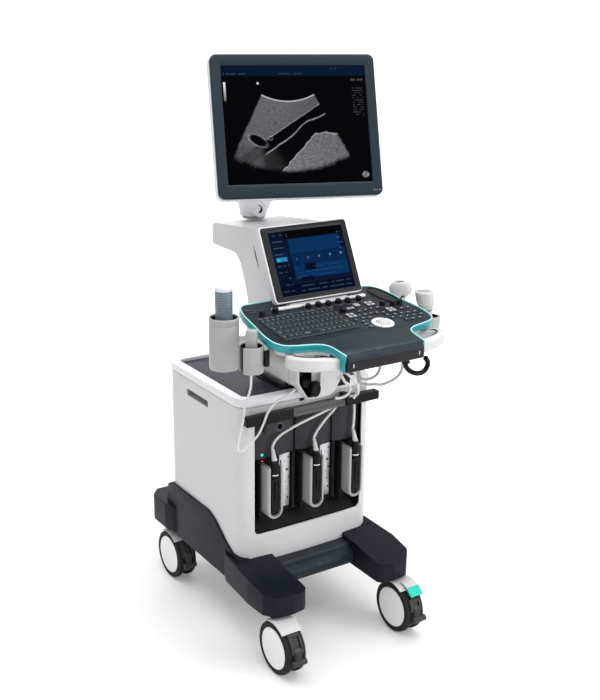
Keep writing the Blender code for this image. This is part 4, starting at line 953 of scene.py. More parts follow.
# ------------------------------------------------------------------ touch panel
def touch():
    w, h = 0.1325, 0.099
    x0, x1, y0, y1 = -w + 0.024, w - 0.017, -h + 0.015, h - 0.016
    back = []
    for d, z in ((0.0, -0.0060), (0.0, -0.0170), (-0.0012, -0.0197), (-0.0040, -0.0214), (-0.0090, -0.0220)):
        back.append([(p[0], p[1], z) for p in rounded_rect(-w - d, -h - d, w + d, h + d, 0.009, 8)])
    back = [[(p[0], p[1], -0.0012) for p in rounded_rect(-w, -h, w, h, 0.009, 8)]] + back
    piece("touch_rear_cover", loft(back), WHITE, "touch", at_frame=TM, smooth=50)
    front = rounded_rect(-w + 0.0038, -h + 0.0026, w - 0.0003, h - 0.0030, 0.0075, 10)
    frame_rings = [(front, 0.0, -0.0030), (front, 0.0, -0.0011), (front, -0.0006, -0.0004), (front, -0.0016, -0.0001)]
    hole = rounded_rect(x0, y0, x1, y1, 0.002, 10)
    bm = bmesh.new()
    rings = [[(p[0], p[1], z) for p in offset(o, d)] for o, d, z in frame_rings]
    rings += [[(p[0], p[1], -0.0001) for p in offset(hole, 0.0015)], [(p[0], p[1], -0.0009) for p in hole],
              [(p[0], p[1], -0.0030) for p in hole]]
    rows = [[bm.verts.new(p) for p in r] for r in rings]
    n = len(rows[0])
    for a, c in zip(rows, rows[1:] + rows[:1]):
        for i in range(n):
            bm.faces.new((a[i], a[(i + 1) % n], c[(i + 1) % n], c[i]))
    piece("touch_front_frame", link_mesh("f", bm), TOUCH_FRAME, "touch", at_frame=TM, smooth=50,
          instead_of=("touch_panel",))
    pic = box((x0 - 0.0012, y0 - 0.0012, -0.0100), (x1 + 0.0012, y1 + 0.0012, -0.0010), 0.0004, 2)
    piece("touch_menu", pic, menu_material(x0, x1, y0, y1), "touch", at_frame=TM)
    ribs = [box((-0.085, y - 0.0015, -0.0222), (0.085, y + 0.0015, -0.0210), 0.0006, 2) for y in
            [-0.055 + 0.009 * k for k in range(9)]]
    piece("touch_rear_ribs", join(*ribs), GREY, "touch", at_frame=TM)
    # hinge barrel at the lower edge
    piece("touch_hinge_barrel", cyl(0.0058, 0.180, (0, -0.154, 0.9462), (1, 0, 0), 28, bevel=0.001), MID_GREY, "touch")


# ------------------------------------------------------------------ tower
def tower():
    prof = [(-0.1230, 0.9440), (-0.0955, 0.9440), (-0.0955, 0.8905), (0.0190, 0.8905), (0.0220, 0.915),
            (0.0400, 0.966), (0.0620, 1.010), (0.0850, 1.028), (0.2050, 1.030), (0.2100, 1.037), (0.2100, 1.083),
            (0.1950, 1.090), (-0.0400, 1.112), (-0.0490, 1.106)]
    rad = [0.004, 0.002, 0.001, 0.004, 0.03, 0.05, 0.05, 0.03, 0.006, 0.006, 0.010, 0.03, 0.012, 0.012]
    line = fillet(list(reversed(prof)), list(reversed(rad)), 7)
    body = prism(line, 0.2100, SIDE, bevel=0.0065, seg=4, angle=50)
    piece("tower_cover", body, WHITE, "console", smooth=40, instead_of=("tower",))
    # a dark parting groove down each flank beside the touch panel
    for tag, s in (("left", -1), ("right", 1)):
        a, b = Vector((s * 0.1050, -0.0090, 1.0650)), Vector((s * 0.1050, -0.0400, 1.0020))
        pts = [a.lerp(b, k / 12) for k in range(13)]
        tap = [0.12 + 0.88 * math.sin(math.pi * min(1.0, (k + 0.5) / 11.5)) for k in range(13)]
        piece("tower_groove_" + tag, wire(pts, 0.0021, 2, tap), MID_GREY, "console")
    strip = box((-0.1420, -0.0405, 0.0007), (0.1420, -0.0280, 0.0074), 0.0020, 3, matrix=K)
    piece("tower_front_strip", strip, GLOSS, "console")
    riser = box((-0.0880, -0.0300, 0.0009), (0.0880, 0.0175, 0.0100), 0.002, 3, matrix=K)
    piece("tower_riser", riser, WHITE, "console")
    # rear: cable door and vents
    door = prism(rounded_rect(-0.070, 1.044, 0.070, 1.076, 0.006, 6), 0.0020, FRONT @ at(z=-0.2104), bevel=0.0007)
    piece("tower_rear_door", door, SOFT_WHITE, "console")
    sl = [box((-0.060, 0.0, -0.0009), (0.060, 0.0016, 0.0009), 0.0006, 2,
              matrix=Matrix.Translation((0, 0.118 + 0.010 * k, 1.0292)) @ Matrix.Rotation(0, 4, 'X')) for k in range(7)]
    piece("tower_under_vents", join(*sl), MID_GREY, "console")


# ------------------------------------------------------------------ console
def console_line(n=5):
    key = [(.188, -.104), (.204, -.116), (.2165, -.150), (.2215, -.180), (.227, -.225), (.233, -.265),
           (.2345, -.295), (.231, -.321), (.2185, -.3395), (.197, -.3485), (.172, -.3545), (.148, -.3600),
           (.129, -.370), (.1185, -.3865), (.1150, -.410), (.1130, -.440)]
    fine = catmull(key, n)
    pts = [plan(x, y)[:2] for x, y in fine]
    left = [(-x, y) for x, y in reversed(pts)]
    fy = pts[-1][1]
    front = [(x, fy - 0.004 * (1 - (abs(x) / 0.113) ** 2.2)) for x in [0.113 - 0.226 * k / 16 for k in range(1, 16)]]
    return list(reversed(pts + front + left))


def console():
    line = console_line()
    panel = prism(line, 0.012, K @ at(z=-0.006), bevel=0.0016, seg=3, angle=40)
    palm = prism(fillet([(-0.300, 0.8450), (-0.4410, 0.8450), (-0.4480, 0.8510), (-0.4480, 0.8735), (-0.4405, 0.8862),
                         (-0.300, 0.9075)], [0.001, 0.005, 0.004, 0.007, 0.022, 0.001], 7), 0.2240, SIDE, bevel=0.003,
                 seg=3, angle=60)
    socket = ball(0.0202, plan(0.082, -0.320, -0.0080), 40, 24, matrix=K)
    well = cyl(0.0202, 0.060, plan(0.082, -0.320, -0.0380), n=40, matrix=K)
    body = cut(panel, socket, well)
    palm = cut(palm, prism(offset(line, 0.02), 0.05, K @ at(z=0.0250)), cyl(0.0215, 0.2, plan(0.082, -0.320, 0.0), n=40, matrix=K))
    # the control field and the palm rest are two mouldings with a fine joint between them
    field = cut(body, prism([(0.30, -0.60), (0.30, plan(0, -0.3455)[1]), (-0.30, plan(0, -0.3455)[1]), (-0.30, -0.60)][::-1],
                            0.08, K))
    piece("control_field", field, SLATE, "console", smooth=40, instead_of=("console_panel",))
    rest = prism(line, 0.012, K @ at(z=-0.006), bevel=0.0016, seg=3, angle=40)
    rest = cut(rest, prism([(0.30, plan(0, -0.3460)[1]), (0.30, 0.30), (-0.30, 0.30), (-0.30, plan(0, -0.3460)[1])], 0.08, K),
               box((-0.2, -0.60, 0.7), (0.2, -0.4375, 1.0)))
    piece("palm_rest_top", rest, PALM_SLATE_PAINTED_SHEEN, "console", smooth=40)
    piece("palm_rest_body", palm, PALM_SLATE_PAINTED_SHEEN, "console", smooth=40)
    # front fascia, set into the palm rest's nose
    fas = prism(rounded_rect(-0.1085, 0.8490, 0.1085, 0.8745, 0.003, 6), 0.0030, FRONT @ at(z=0.4476), bevel=0.0009)
    piece("palm_rest_fascia", fas, FASCIA, "console")
    marks = [box((x - 0.0012, -0.4495, 0.8585), (x + 0.0012, -0.4485, 0.8675), 0.0004, 2) for x in (-0.0985, 0.0965)]
    piece("fascia_marks", join(*marks), LIT_MARK, "console")

    # teal band round the edge, with a pale strip along its top: painted highlight
    band_o, band_i = offset(line, 0.0050), offset(line, GAP)
    ring = cut(prism(band_o, 0.0180, K @ at(z=-0.0100), bevel=0.0012, seg=2, angle=50), prism(band_i, 0.06, K @ at(z=-0.010)),
               box((-0.1135, -0.46, 0.80), (0.1135, -0.40, 0.95)), box((-0.20, -0.47, 0.80), (0.20, -0.4403, 0.95)))
    piece("teal_band", ring, TEAL, "console", smooth=40, instead_of=("teal_trim",))
    for tag, s in (("left", -1), ("right", 1)):
        drop = prism(fillet([(-0.4395, 0.8455), (-0.4235, 0.8455), (-0.4180, 0.8700), (-0.4180, 0.8880), (-0.4395, 0.8800)],
                            [0.003, 0.003, 0.010, 0.004, 0.004], 5), 0.0044, SIDE @ at(z=s * 0.1171), bevel=0.0010)
        piece("teal_band_end_" + tag, drop, TEAL, "console", smooth=40)
    mid = [(p[0], p[1], -0.0004) for p in offset(line, 0.0030)]
    # start and end the highlight strip at the palm rest's nose
    HIGHLIGHT_FRONT = (K @ Vector((0.0, plan(0, -0.36)[1], 0.0))).y
    start = max(range(len(mid)), key=lambda i: (-(mid[i][1]) + (0.5 if mid[i][0] < -0.110 else -9)))
    order = mid[start:] + mid[:start]
    highlight_run = [K @ Vector(p) for p in order if not (abs(p[0]) < 0.1155 and p[1] < plan(0, -0.425)[1])]
    # keep it as one run: cut where the jump is largest
    gaps = [(highlight_run[i] - highlight_run[i - 1]).length if max(highlight_run[i].y, highlight_run[i - 1].y) < HIGHLIGHT_FRONT else 0.0 for i in range(len(highlight_run))]
    g = gaps.index(max(gaps))
    highlight_run = highlight_run[g:] + highlight_run[:g]
    piece("teal_band_highlight_strip", wire(highlight_run, 0.0017, 3), TEAL_HIGHLIGHT, "console", smooth=60)

    # underside shell
    top = prism(offset(line, -0.0100), 0.0216, K @ at(z=-0.0231), bevel=0.006, seg=3, angle=50)
    belly = box((-0.1550, -0.3350, 0.8300), (0.1550, -0.1000, 0.8830), 0.014, 4)
    plate = box((-0.1400, -0.3800, 0.8330), (0.1400, -0.3000, 0.8440), 0.004, 3)
    rear = box((-0.1000, -0.1500, 0.8150), (0.1000, 0.0450, 0.8900), 0.012, 4)
    turn = cyl(0.0550, 0.0300, (0.0, -0.040, 0.8153), n=64)
    shell = union(top, belly, rear, turn)
    shell = cut(shell, box((-0.1125, -0.47, 0.8447), (0.1125, -0.2997, 0.930)), cyl(0.0225, 0.090, plan(0.082, -0.320, -0.03),
                                                                                      n=40, matrix=K))
    shell = union(shell, plate)
    piece("console_underside", shell, WHITE, "console", smooth=35, instead_of=("console_shell",))
    # side grips: thick oval loops
    path = [(0.1175, -0.4120, 0.8610), (0.134, -0.4130, 0.8630), (0.156, -0.4115, 0.8660), (0.180, -0.4070, 0.8680), (0.200, -0.3975, 0.8690),
            (0.2125, -0.3830, 0.8690), (0.2160, -0.3660, 0.8680), (0.2100, -0.3480, 0.865), (0.196, -0.3310, 0.861), (0.174, -0.3150, 0.858), (0.148, -0.3020, 0.856)]
    sec = []
    for k in range(28):
        a = math.tau * k / 28
        ca, sa = math.cos(a), math.sin(a)
        sec.append((0.0120 * math.copysign(abs(ca) ** 0.5, ca), 0.0160 * math.copysign(abs(sa) ** 0.5, sa)))
    for tag, s in (("left", -1), ("right", 1)):
        p = catmull([(s * x, y, z) for x, y, z in path], 8)
        piece("side_grip_" + tag, sweep(p, sec, scale=lambda t: 0.80 + 0.20 * math.sin(math.pi * min(1, max(0, t * 1.25))) ** 0.5
                                        if t < 0.8 else 1.0), SOFT_WHITE, "console", smooth=60)
        ins = [(0.152, -0.4060, 0.8800), (0.174, -0.4030, 0.8820), (0.194, -0.3940, 0.8830), (0.2060, -0.3800, 0.8830),
               (0.2090, -0.3660, 0.8820), (0.2050, -0.3520, 0.8790)]
        ip = catmull([(s * x, y, z) for x, y, z in ins], 7)
        n = len(ip)
        piece("grip_inlay_" + tag, wire(ip, 0.0034, 3, [0.35 + 0.65 * math.sin(math.pi * min(1, max(0, (k + 1) / n))) for k in range(n)]),
              CASTER_GREY, "console", smooth=60)
        # bracket that ties the grip back to the underside
        br = box((s * 0.150 - 0.016, -0.345, 0.842), (s * 0.150 + 0.016, -0.290, 0.872), 0.006, 3)
        piece("grip_bracket_" + tag, br, WHITE, "console")
        sc = [cyl(0.0042, 0.003, (s * 0.165, y, 0.8565), (s, 0, 0), 20, bevel=0.0008) for y in (-0.335, -0.305)]
        piece("grip_screws_" + tag, join(*sc), CHROME, "console")

    # bag hook
    hook = catmull([(0.095, -0.400, 0.8275), (0.0955, -0.400, 0.816), (0.107, -0.400, 0.802), (0.125, -0.400, 0.792),
                    (0.142, -0.400, 0.789), (0.156, -0.400, 0.793), (0.164, -0.400, 0.803), (0.165, -0.400, 0.814),
                    (0.1585, -0.400, 0.8245)], 7)
    hb = union(wire(hook, 0.0064, 5), ball(0.0070, hook[-1], 24, 16))
    piece("bag_hook_bar", hb, BLACK_GLOSS, "console", smooth=60, instead_of=("bag_hook",))
    piece("bag_hook_foot", cyl(0.0105, 0.006, (0.095, -0.400, 0.8260), n=32, bevel=0.0015), DARK, "console")

    # bed round the keyboard, key block
    x0, x1, ya, yb = -0.205, 0.012, -0.322, -0.203
    a, b = Vector(plan(x0, ya)), Vector(plan(x1, yb))
    tray = prism(rounded_rect(a.x - 0.003, a.y - 0.003, b.x + 0.003, b.y + 0.003, 0.004, 6), 0.0010, K @ at(z=0.0004), bevel=0.0003, seg=2)
    piece("keyboard_bed", tray, DARK, "console")
    bm = bmesh.new()
    uv = bm.loops.layers.uv.new("uv")
    rows = 5
    ph = (b.y - a.y) / rows
    for r in range(rows):
        cols = (15, 15, 15, 14, 11)[rows - 1 - r]
        widths = [1.0] * cols
        if r == 0:
            widths = [1.4, 1.1, 1.1, 4.4, 1.1, 1.1, 1.1, 1.0, 1.0, 1.0, 1.0]
        elif r == 1:
            widths[0], widths[-1] = 1.9, 1.5
        elif r == 2:
            widths[0], widths[-1] = 1.6, 1.5
        tot = sum(widths)
        pw = (b.x - a.x) / tot
        cx = a.x
        for wdt in widths:
            kx0, kx1 = cx + 0.0007, cx + wdt * pw - 0.0007
            ky0, ky1 = a.y + r * ph + 0.0009, a.y + (r + 1) * ph - 0.0009
            cx += wdt * pw
            lo = [bm.verts.new((x, y, 0.0006)) for x, y in ((kx0, ky0), (kx1, ky0), (kx1, ky1), (kx0, ky1))]
            md = [bm.verts.new((x, y, 0.0030)) for x, y in ((kx0 + .0003, ky0 + .0003), (kx1 - .0003, ky0 + .0003),
                                                             (kx1 - .0003, ky1 - .0003), (kx0 + .0003, ky1 - .0003))]
            tp = [bm.verts.new((x, y, 0.0038)) for x, y in ((kx0 + .0013, ky0 + .0014), (kx1 - .0013, ky0 + .0014),
                                                             (kx1 - .0013, ky1 - .0010), (kx0 + .0013, ky1 - .0010))]
            faces = [bm.faces.new(tp)]
            for p, q in ((lo, md), (md, tp)):
                for k in range(4):
                    faces.append(bm.faces.new((p[k], p[(k + 1) % 4], q[(k + 1) % 4], q[k])))
            faces.append(bm.faces.new(list(reversed(lo))))
            for f in faces:
                for lp in f.loops:
                    v = lp.vert.co
                    lp[uv].uv = ((v.x - kx0) / (kx1 - kx0), (v.y - ky0) / (ky1 - ky0))
    piece("keyboard_keys", link_mesh("k", bm, K), KEYCAPS, "console", instead_of=("keyboard",),
          smooth=20, weld=False)

    # soft-key row above the keys, lit marks beside each
    soft, lit = [], []
    for k in range(13):
        x = -0.196 + 0.0172 * k
        c = plan(x, -0.1945, 0.0012)
        soft.append(box((c[0] - 0.0066, c[1] - 0.0030, 0.0002), (c[0] + 0.0066, c[1] + 0.0030, 0.0020), 0.0007, 2, matrix=K))
        lit.append(box((c[0] - 0.0042, c[1] + 0.0044, 0.0001), (c[0] + 0.0042, c[1] + 0.0056, 0.0005), matrix=K))
    piece("soft_keys", join(*soft), KEY, "console")
    piece("soft_key_marks", join(*lit), LIT_MARK, "console")

    # rotary knobs: ribbed barrel, domed cap, plain skirt; extra ones beside those of the frame
    knobs = ((-0.047, -0.179), (-0.016, -0.177), (0.013, -0.180), (0.045, -0.178), (0.072, -0.181), (0.107, -0.180),
             (0.023, -0.231), (0.148, -0.229))
    for i, (kx, ky) in enumerate(knobs, 1):
        piece("knob_%d_cap" % i, knob_mesh(kx, ky, 1.0), KNOB, "dial_%d" % i, smooth=35, instead_of=("knob_%d" % i,))
    extra = [knob_mesh(-0.181, -0.176, 0.92), knob_mesh(-0.140, -0.171, 1.05), knob_mesh(0.176, -0.2365, 0.9),
             knob_mesh(0.1985, -0.236, 0.9)]
    piece("fixed_knobs", join(*extra), KNOB, "console", smooth=35)
    lever = [wire([K @ Vector(plan(0.1985, -0.236, 0.010)), K @ Vector(plan(0.209, -0.229, 0.0150)),
                   K @ Vector(plan(0.218, -0.228, 0.0160))], 0.0024, 3)]
    piece("gain_lever", join(*lever), KNOB, "console")
    skirts = []
    for kx, ky in knobs:
        c = plan(kx, ky, 0.0006)
        skirts.append(lathe([(0.0092, 0.0), (0.0108, 0.0), (0.0106, 0.0010), (0.0096, 0.0013), (0.0092, 0.0)], 40, K @ at(*c[:2], -0.0002)))
    piece("knob_skirts", join(*skirts), MID_GREY, "console")

    # square key clusters; the glowing tops are a painted highlight
    caps, rims = [], []
    for cx, cy, nx, ny, s in ((0.031, -0.256, 2, 2, 0.0062), (0.122, -0.209, 2, 2, 0.0062), (0.153, -0.260, 2, 2, 0.0060),
                              (0.0560, -0.217, 2, 1, 0.0060)):
        for ix in range(nx):
            for iy in range(ny):
                x = cx + (ix - (nx - 1) / 2) * s * 2.1
                y = cy + (iy - (ny - 1) / 2) * s * 2.1
                c = plan(x, y)
                rims.append(box((c[0] - s, c[1] - s, 0.0002), (c[0] + s, c[1] + s, 0.0030), 0.0012, 3, matrix=K))
                caps.append(box((c[0] - s * 0.62, c[1] - s * 0.62, 0.0029), (c[0] + s * 0.62, c[1] + s * 0.62, 0.0034), 0.0002, 1,
                                matrix=K))
    piece("square_key_rims", join(*rims), MID_GREY, "console")
    piece("square_key_tops_highlight_glow", join(*caps), KEY_TOP_HIGHLIGHT_GLOW, "console")
    c = plan(0.082, -0.207)
    piece("scan_key_cap", box((c[0] - 0.0080, c[1] - 0.0075, 0.0016), (c[0] + 0.0080, c[1] + 0.0075, 0.0052), 0.0014, 3, matrix=K),
          GREY, "key", instead_of=("scan_key",))

    # small round and bar keys over the right half
    small, dots = [], []
    spots = [(0.052, -0.262), (0.070, -0.262), (0.088, -0.262), (0.106, -0.262), (0.052, -0.279), (0.070, -0.281), (0.124, -0.268),
             (0.124, -0.284), (0.128, -0.301), (0.040, -0.296), (0.036, -0.312), (0.040, -0.328), (0.146, -0.287), (0.166, -0.287),
             (0.186, -0.290), (0.150, -0.305), (0.170, -0.307), (0.190, -0.309), (0.154, -0.323), (0.174, -0.325), (0.194, -0.326),
             (0.028, -0.281), (0.128, -0.236), (0.108, -0.236), (0.088, -0.238), (0.068, -0.240), (0.206, -0.262), (0.186, -0.262),
             (0.207, -0.290), (0.212, -0.309)]
    for k, (x, y) in enumerate(spots):
        c = plan(x, y)
        wx, wy = (0.0068, 0.0040) if k % 3 else (0.0056, 0.0056)
        small.append(box((c[0] - wx, c[1] - wy, 0.0001), (c[0] + wx, c[1] + wy, 0.0024), 0.0012, 3, matrix=K))
        dots.append(box((c[0] - wx * 0.45, c[1] - 0.0005, 0.0023), (c[0] + wx * 0.35, c[1] + 0.0007, 0.0026), matrix=K))
    piece("function_keys", join(*small), KEY, "console")
    piece("function_key_marks", join(*dots), LIT_MARK, "console")

    # trackball: pale ring cut in four keys, glossy ball
    ring = lathe([(0.0180, 0.0002), (0.0285, 0.0002), (0.0292, 0.0010), (0.0286, 0.0024), (0.0245, 0.0034), (0.0186, 0.0030),
                  (0.0180, 0.0020), (0.0180, 0.0002)], 72, K @ at(*plan(0.082, -0.320)[:2]))
    slits = [box((-0.0006, 0.010, -0.002), (0.0006, 0.034, 0.008), matrix=K @ at(*plan(0.082, -0.320)[:2]) @ Matrix.Rotation(a, 4, 'Z'))
             for a in (math.radians(45), math.radians(135), math.radians(225), math.radians(315))]
    piece("trackball_keys", cut(ring, *slits), GLOSS, "console", edge=0.0004)
    piece("trackball_ball", ball(0.0190, K @ Vector(plan(0.082, -0.320, -0.0080)), 48, 32), PROBE, "ball", smooth=60,
          instead_of=("trackball",))

    # recessed tray at the right rear and three bar keys at the left rear
    tp = [plan(x, y)[:2] for x, y in ((0.180, -0.118), (0.203, -0.124), (0.2135, -0.152), (0.2165, -0.205), (0.204, -0.222),
                                      (0.178, -0.205), (0.170, -0.150))]
    tp = catmull(list(reversed(tp)), 8, closed=True)
    lip = cut(prism(tp, 0.0030, K @ at(z=0.0012), bevel=0.0008, seg=2), prism(offset(tp, -0.0026), 0.02, K))
    piece("tray_lip", lip, DARK, "console", smooth=50)
    piece("tray_floor", prism(offset(tp, -0.0024), 0.0008, K @ at(z=0.0003)), BLACK_GLOSS, "console")
    bars = [box((c0[0] - 0.012, c0[1] - 0.002, 0.0001), (c0[0] + 0.013, c0[1] + 0.002, 0.0016), 0.0007, 2, matrix=K)
            for c0 in (plan(-0.196, -0.140), plan(-0.196, -0.152), plan(-0.160, -0.146))]
    piece("rear_bar_keys", join(*bars), KEY, "console")


def knob_mesh(kx, ky, s):
    prof = [(0.0, 0.0004), (0.0086, 0.0004), (0.0088, 0.0020), (0.0080, 0.0032), (0.0078, 0.0110), (0.0072, 0.0128), (0.0058, 0.0137),
            (0.0, 0.0137)]
    ob = lathe([(r * s, z * (0.9 + 0.1 * s)) for r, z in prof], 48)
    for v in ob.data.vertices:                       # fine grip ribs on the barrel
        a = math.atan2(v.co.y, v.co.x)
        if 0.003 < v.co.z < 0.0112 * s and math.hypot(v.co.x, v.co.y) > 0.004:
            f = 1.0 - 0.045 * (0.5 + 0.5 * math.cos(a * 16))
            v.co.x *= f
            v.co.y *= f
    c = plan(kx, ky)
    ob.data.transform(K @ at(c[0], c[1], 0.0))
    return ob


# ------------------------------------------------------------------ cups, bottle, probes
def cup_mesh(x, y, z0, z1, ro, ri, lip, slot_deg=None):
    prof = [(lip, z0 + 0.0006), (ro - 0.0050, z0), (ro - 0.0018, z0 + 0.0010), (ro, z0 + 0.0040), (ro, z1 - 0.0040),
            (ro - 0.0004, z1 - 0.0012), (ro - 0.0016, z1), (ri + 0.0012, z1), (ri + 0.0002, z1 - 0.0008), (ri, z1 - 0.0030),
            (ri, z0 + 0.0060), (ri - 0.002, z0 + 0.0050), (lip, z0 + 0.0050), (lip, z0 + 0.0006)]
    ob = lathe(prof, 72, at(x, y))
    if slot_deg is not None:
        a = math.radians(slot_deg)
        m = Matrix.Translation((x, y, 0)) @ Matrix.Rotation(a, 4, 'Z')
        ob = cut(ob, prism(fillet([(0.0, -0.0155), (0.06, -0.0155), (0.06, 0.0155), (0.0, 0.0155)], 0.001, 2), z1 - z0 + 0.08,
                           m @ at(z=(z0 + z1) / 2)))
    return ob


def liner_mesh(x, y, z0, z1, r, t=0.0010):
    return lathe([(0.0135, z0 + 0.0053), (r - 0.0012, z0 + 0.0053), (r, z0 + 0.0070), (r, z1 - 0.0022), (r - t, z1 - 0.0022), (r - t, z0 + 0.0075),
                  (0.0135, z0 + 0.0065), (0.0135, z0 + 0.0053)], 64, at(x, y))


def holders():
    x, y = -0.273, -0.150
    ro = 0.0374
    cup = lathe([(0.0, 0.8020), (ro - 0.0060, 0.8020), (ro - 0.0018, 0.8032), (ro, 0.8070), (ro, 0.9150), (ro - 0.0008, 0.9160),
                 (ro - 0.0008, 0.9188), (ro + 0.0003, 0.9200), (ro + 0.0006, 0.9305), (ro, 0.9332), (ro - 0.0016, 0.9342), (ro - 0.0032, 0.9334), (ro - 0.0038, 0.9300),
                 (ro - 0.0042, 0.8090), (0.0, 0.8075)], 80, at(x, y))
    piece("gel_cup_wall", cup, CUP_GREY, "console", smooth=45, instead_of=("gel_cup",))
    lin = lathe([(0.0, 0.8082), (ro - 0.0052, 0.8082), (ro - 0.0044, 0.8100), (ro - 0.0044, 0.9305), (ro - 0.0064, 0.9305), (ro - 0.0064, 0.8100),
                 (0.0, 0.8090)], 72, at(x, y))
    piece("gel_cup_liner", lin, DARK, "console", smooth=45)
    arm = box((-0.2400, -0.160, 0.860), (-0.1556, -0.140, 0.876), 0.004, 3)
    piece("gel_cup_arm", arm, WHITE, "console")
    rb = 0.0216
    bottle = lathe([(0.0, 0.8100), (rb - 0.0025, 0.8100), (rb - 0.0005, 0.8125), (rb, 0.816), (rb, 0.962), (rb + 0.0003, 0.9635), (rb, 0.9650), (rb, 0.9980), (rb - 0.0006, 0.9995),
                    (0.0, 0.9995)], 64, at(x, y))
    piece("gel_bottle_body", bottle, BOTTLE, "bottle", smooth=40, instead_of=("gel_bottle",))
    cap = lathe([(0.0, 0.9997), (rb - 0.0002, 0.9997), (rb + 0.0002, 1.0010), (rb + 0.0002, 1.0075), (rb - 0.0008, 1.0102), (rb - 0.0030, 1.0116), (0.0100, 1.0122),
                 (0.0, 1.0122)], 64, at(x, y))
    piece("gel_bottle_cap", cap, GLOSS, "bottle", smooth=40)

    arm_plate = prism(fillet([(-0.2480, 0.8460), (-0.2480, 0.8870), (-0.2080, 0.8830), (-0.1760, 0.8720), (-0.1760, 0.8420), (-0.2080, 0.8400)], [0.004, 0.004, 0.01, 0.006, 0.004, 0.01], 5),
                      0.0080, FRONT @ at(z=0.2960), bevel=0.0014, seg=3, angle=50)
    piece("left_holder_plate", arm_plate, CUP_GREY, "console", smooth=45)
    slot_bar = box((-0.2480, -0.3030, 0.8440), (-0.2360, -0.2900, 0.8850), 0.002, 3)
    piece("left_holder_slot", slot_bar, DARK, "console")
    plate_screws = [cyl(0.0030, 0.0020, (px, -0.3003, pz), (0, -1, 0), 20, bevel=0.0006) for px, pz in ((-0.2220, 0.8720), (-0.1960, 0.8660), (-0.1880, 0.8560))]
    piece("left_holder_screws", join(*plate_screws), CHROME, "console")
    x, y = -0.267, -0.270
    cup = cup_mesh(x, y, 0.826, 0.893, 0.0300, 0.0265, 0.0150, 168)
    piece("probe_cup_left_wall", cup, CUP_GREY, "console", edge=0.0009, instead_of=("probe_cup_left",))
    piece("probe_cup_left_liner", liner_mesh(x, y, 0.826, 0.893, 0.0264, 0.0012), DARK, "console")
    arm = box((-0.2400, -0.2820, 0.846), (-0.1556, -0.2650, 0.862), 0.004, 3)
    piece("probe_cup_left_arm", arm, WHITE, "console")
    body = []
    for z, a, b in ((0.8350, 0.0095, 0.0095), (0.850, 0.0120, 0.0105), (0.868, 0.0138, 0.0112), (0.880, 0.0142, 0.0116), (0.900, 0.0143, 0.0118),
                    (0.918, 0.0143, 0.0118), (0.9265, 0.0138, 0.0113), (0.9300, 0.0122, 0.0098), (0.9312, 0.0090, 0.0070)):
        body.append((z, a, b))
    body = catmull(body, 4)

    def oval(z, a, b, m=44, turn=-0.58):
        out = []
        for k in range(m):
            w = math.tau * k / m
            ca, sa = math.cos(w), math.sin(w)
            u = a * math.copysign(abs(ca) ** 0.75, ca)
            v = b * math.copysign(abs(sa) ** 0.75, sa)
            out.append((x + u * math.cos(turn) - v * math.sin(turn), y + u * math.sin(turn) + v * math.cos(turn), z))
        return out

    piece("linear_probe_body", loft([oval(z, a, b) for z, a, b in body]), CUP_GREY, "linear_probe", smooth=60,
          instead_of=("probe_linear",))

    xa, ya, xb, yb = 0.270, -0.150, 0.270, -0.270
    for tag, cx, cy in (("rear", xa, ya), ("front", xb, yb)):
        piece("probe_cup_%s_wall" % tag, cup_mesh(cx, cy, 0.826, 0.888, 0.0310, 0.0265, 0.0150, 25), CUP_GREY, "console", edge=0.0009,
              instead_of=("probe_cups_right",) if tag == "rear" else ())
        piece("probe_cup_%s_liner" % tag, liner_mesh(cx, cy, 0.826, 0.888, 0.0264, 0.0012), DARK, "console")
    piece("probe_cup_rail", box((0.2300, -0.2860, 0.847), (0.2430, -0.1340, 0.863), 0.004, 3), WHITE, "console")
    piece("probe_cup_stay", box((0.1556, -0.172, 0.848), (0.2350, -0.148, 0.862), 0.004, 3), WHITE, "console")

    # convex probe: neck, shoulders and a domed head whose lens wraps over the top
    sect = catmull([(0.835, 0.0095, 0.0095), (0.850, 0.0120, 0.0115), (0.880, 0.0132, 0.0122), (0.900, 0.0142, 0.0126), (0.910, 0.0175, 0.0135),
                    (0.918, 0.0260, 0.0165), (0.927, 0.0308, 0.0185), (0.936, 0.0312, 0.0190), (0.945, 0.0275, 0.0178), (0.952, 0.0200, 0.0145), (0.9562, 0.0100, 0.0085)], 6)

    def oval2(cx, cy, turn):
        def f(z, a, b, m=48):
            out = []
            for k in range(m):
                w = math.tau * k / m
                ca, sa = math.cos(w), math.sin(w)
                u = a * math.copysign(abs(ca) ** 0.85, ca)
                v = b * math.copysign(abs(sa) ** 0.85, sa)
                out.append((cx + u * math.cos(turn) - v * math.sin(turn), cy + u * math.sin(turn) + v * math.cos(turn), z))
            return out
        return f

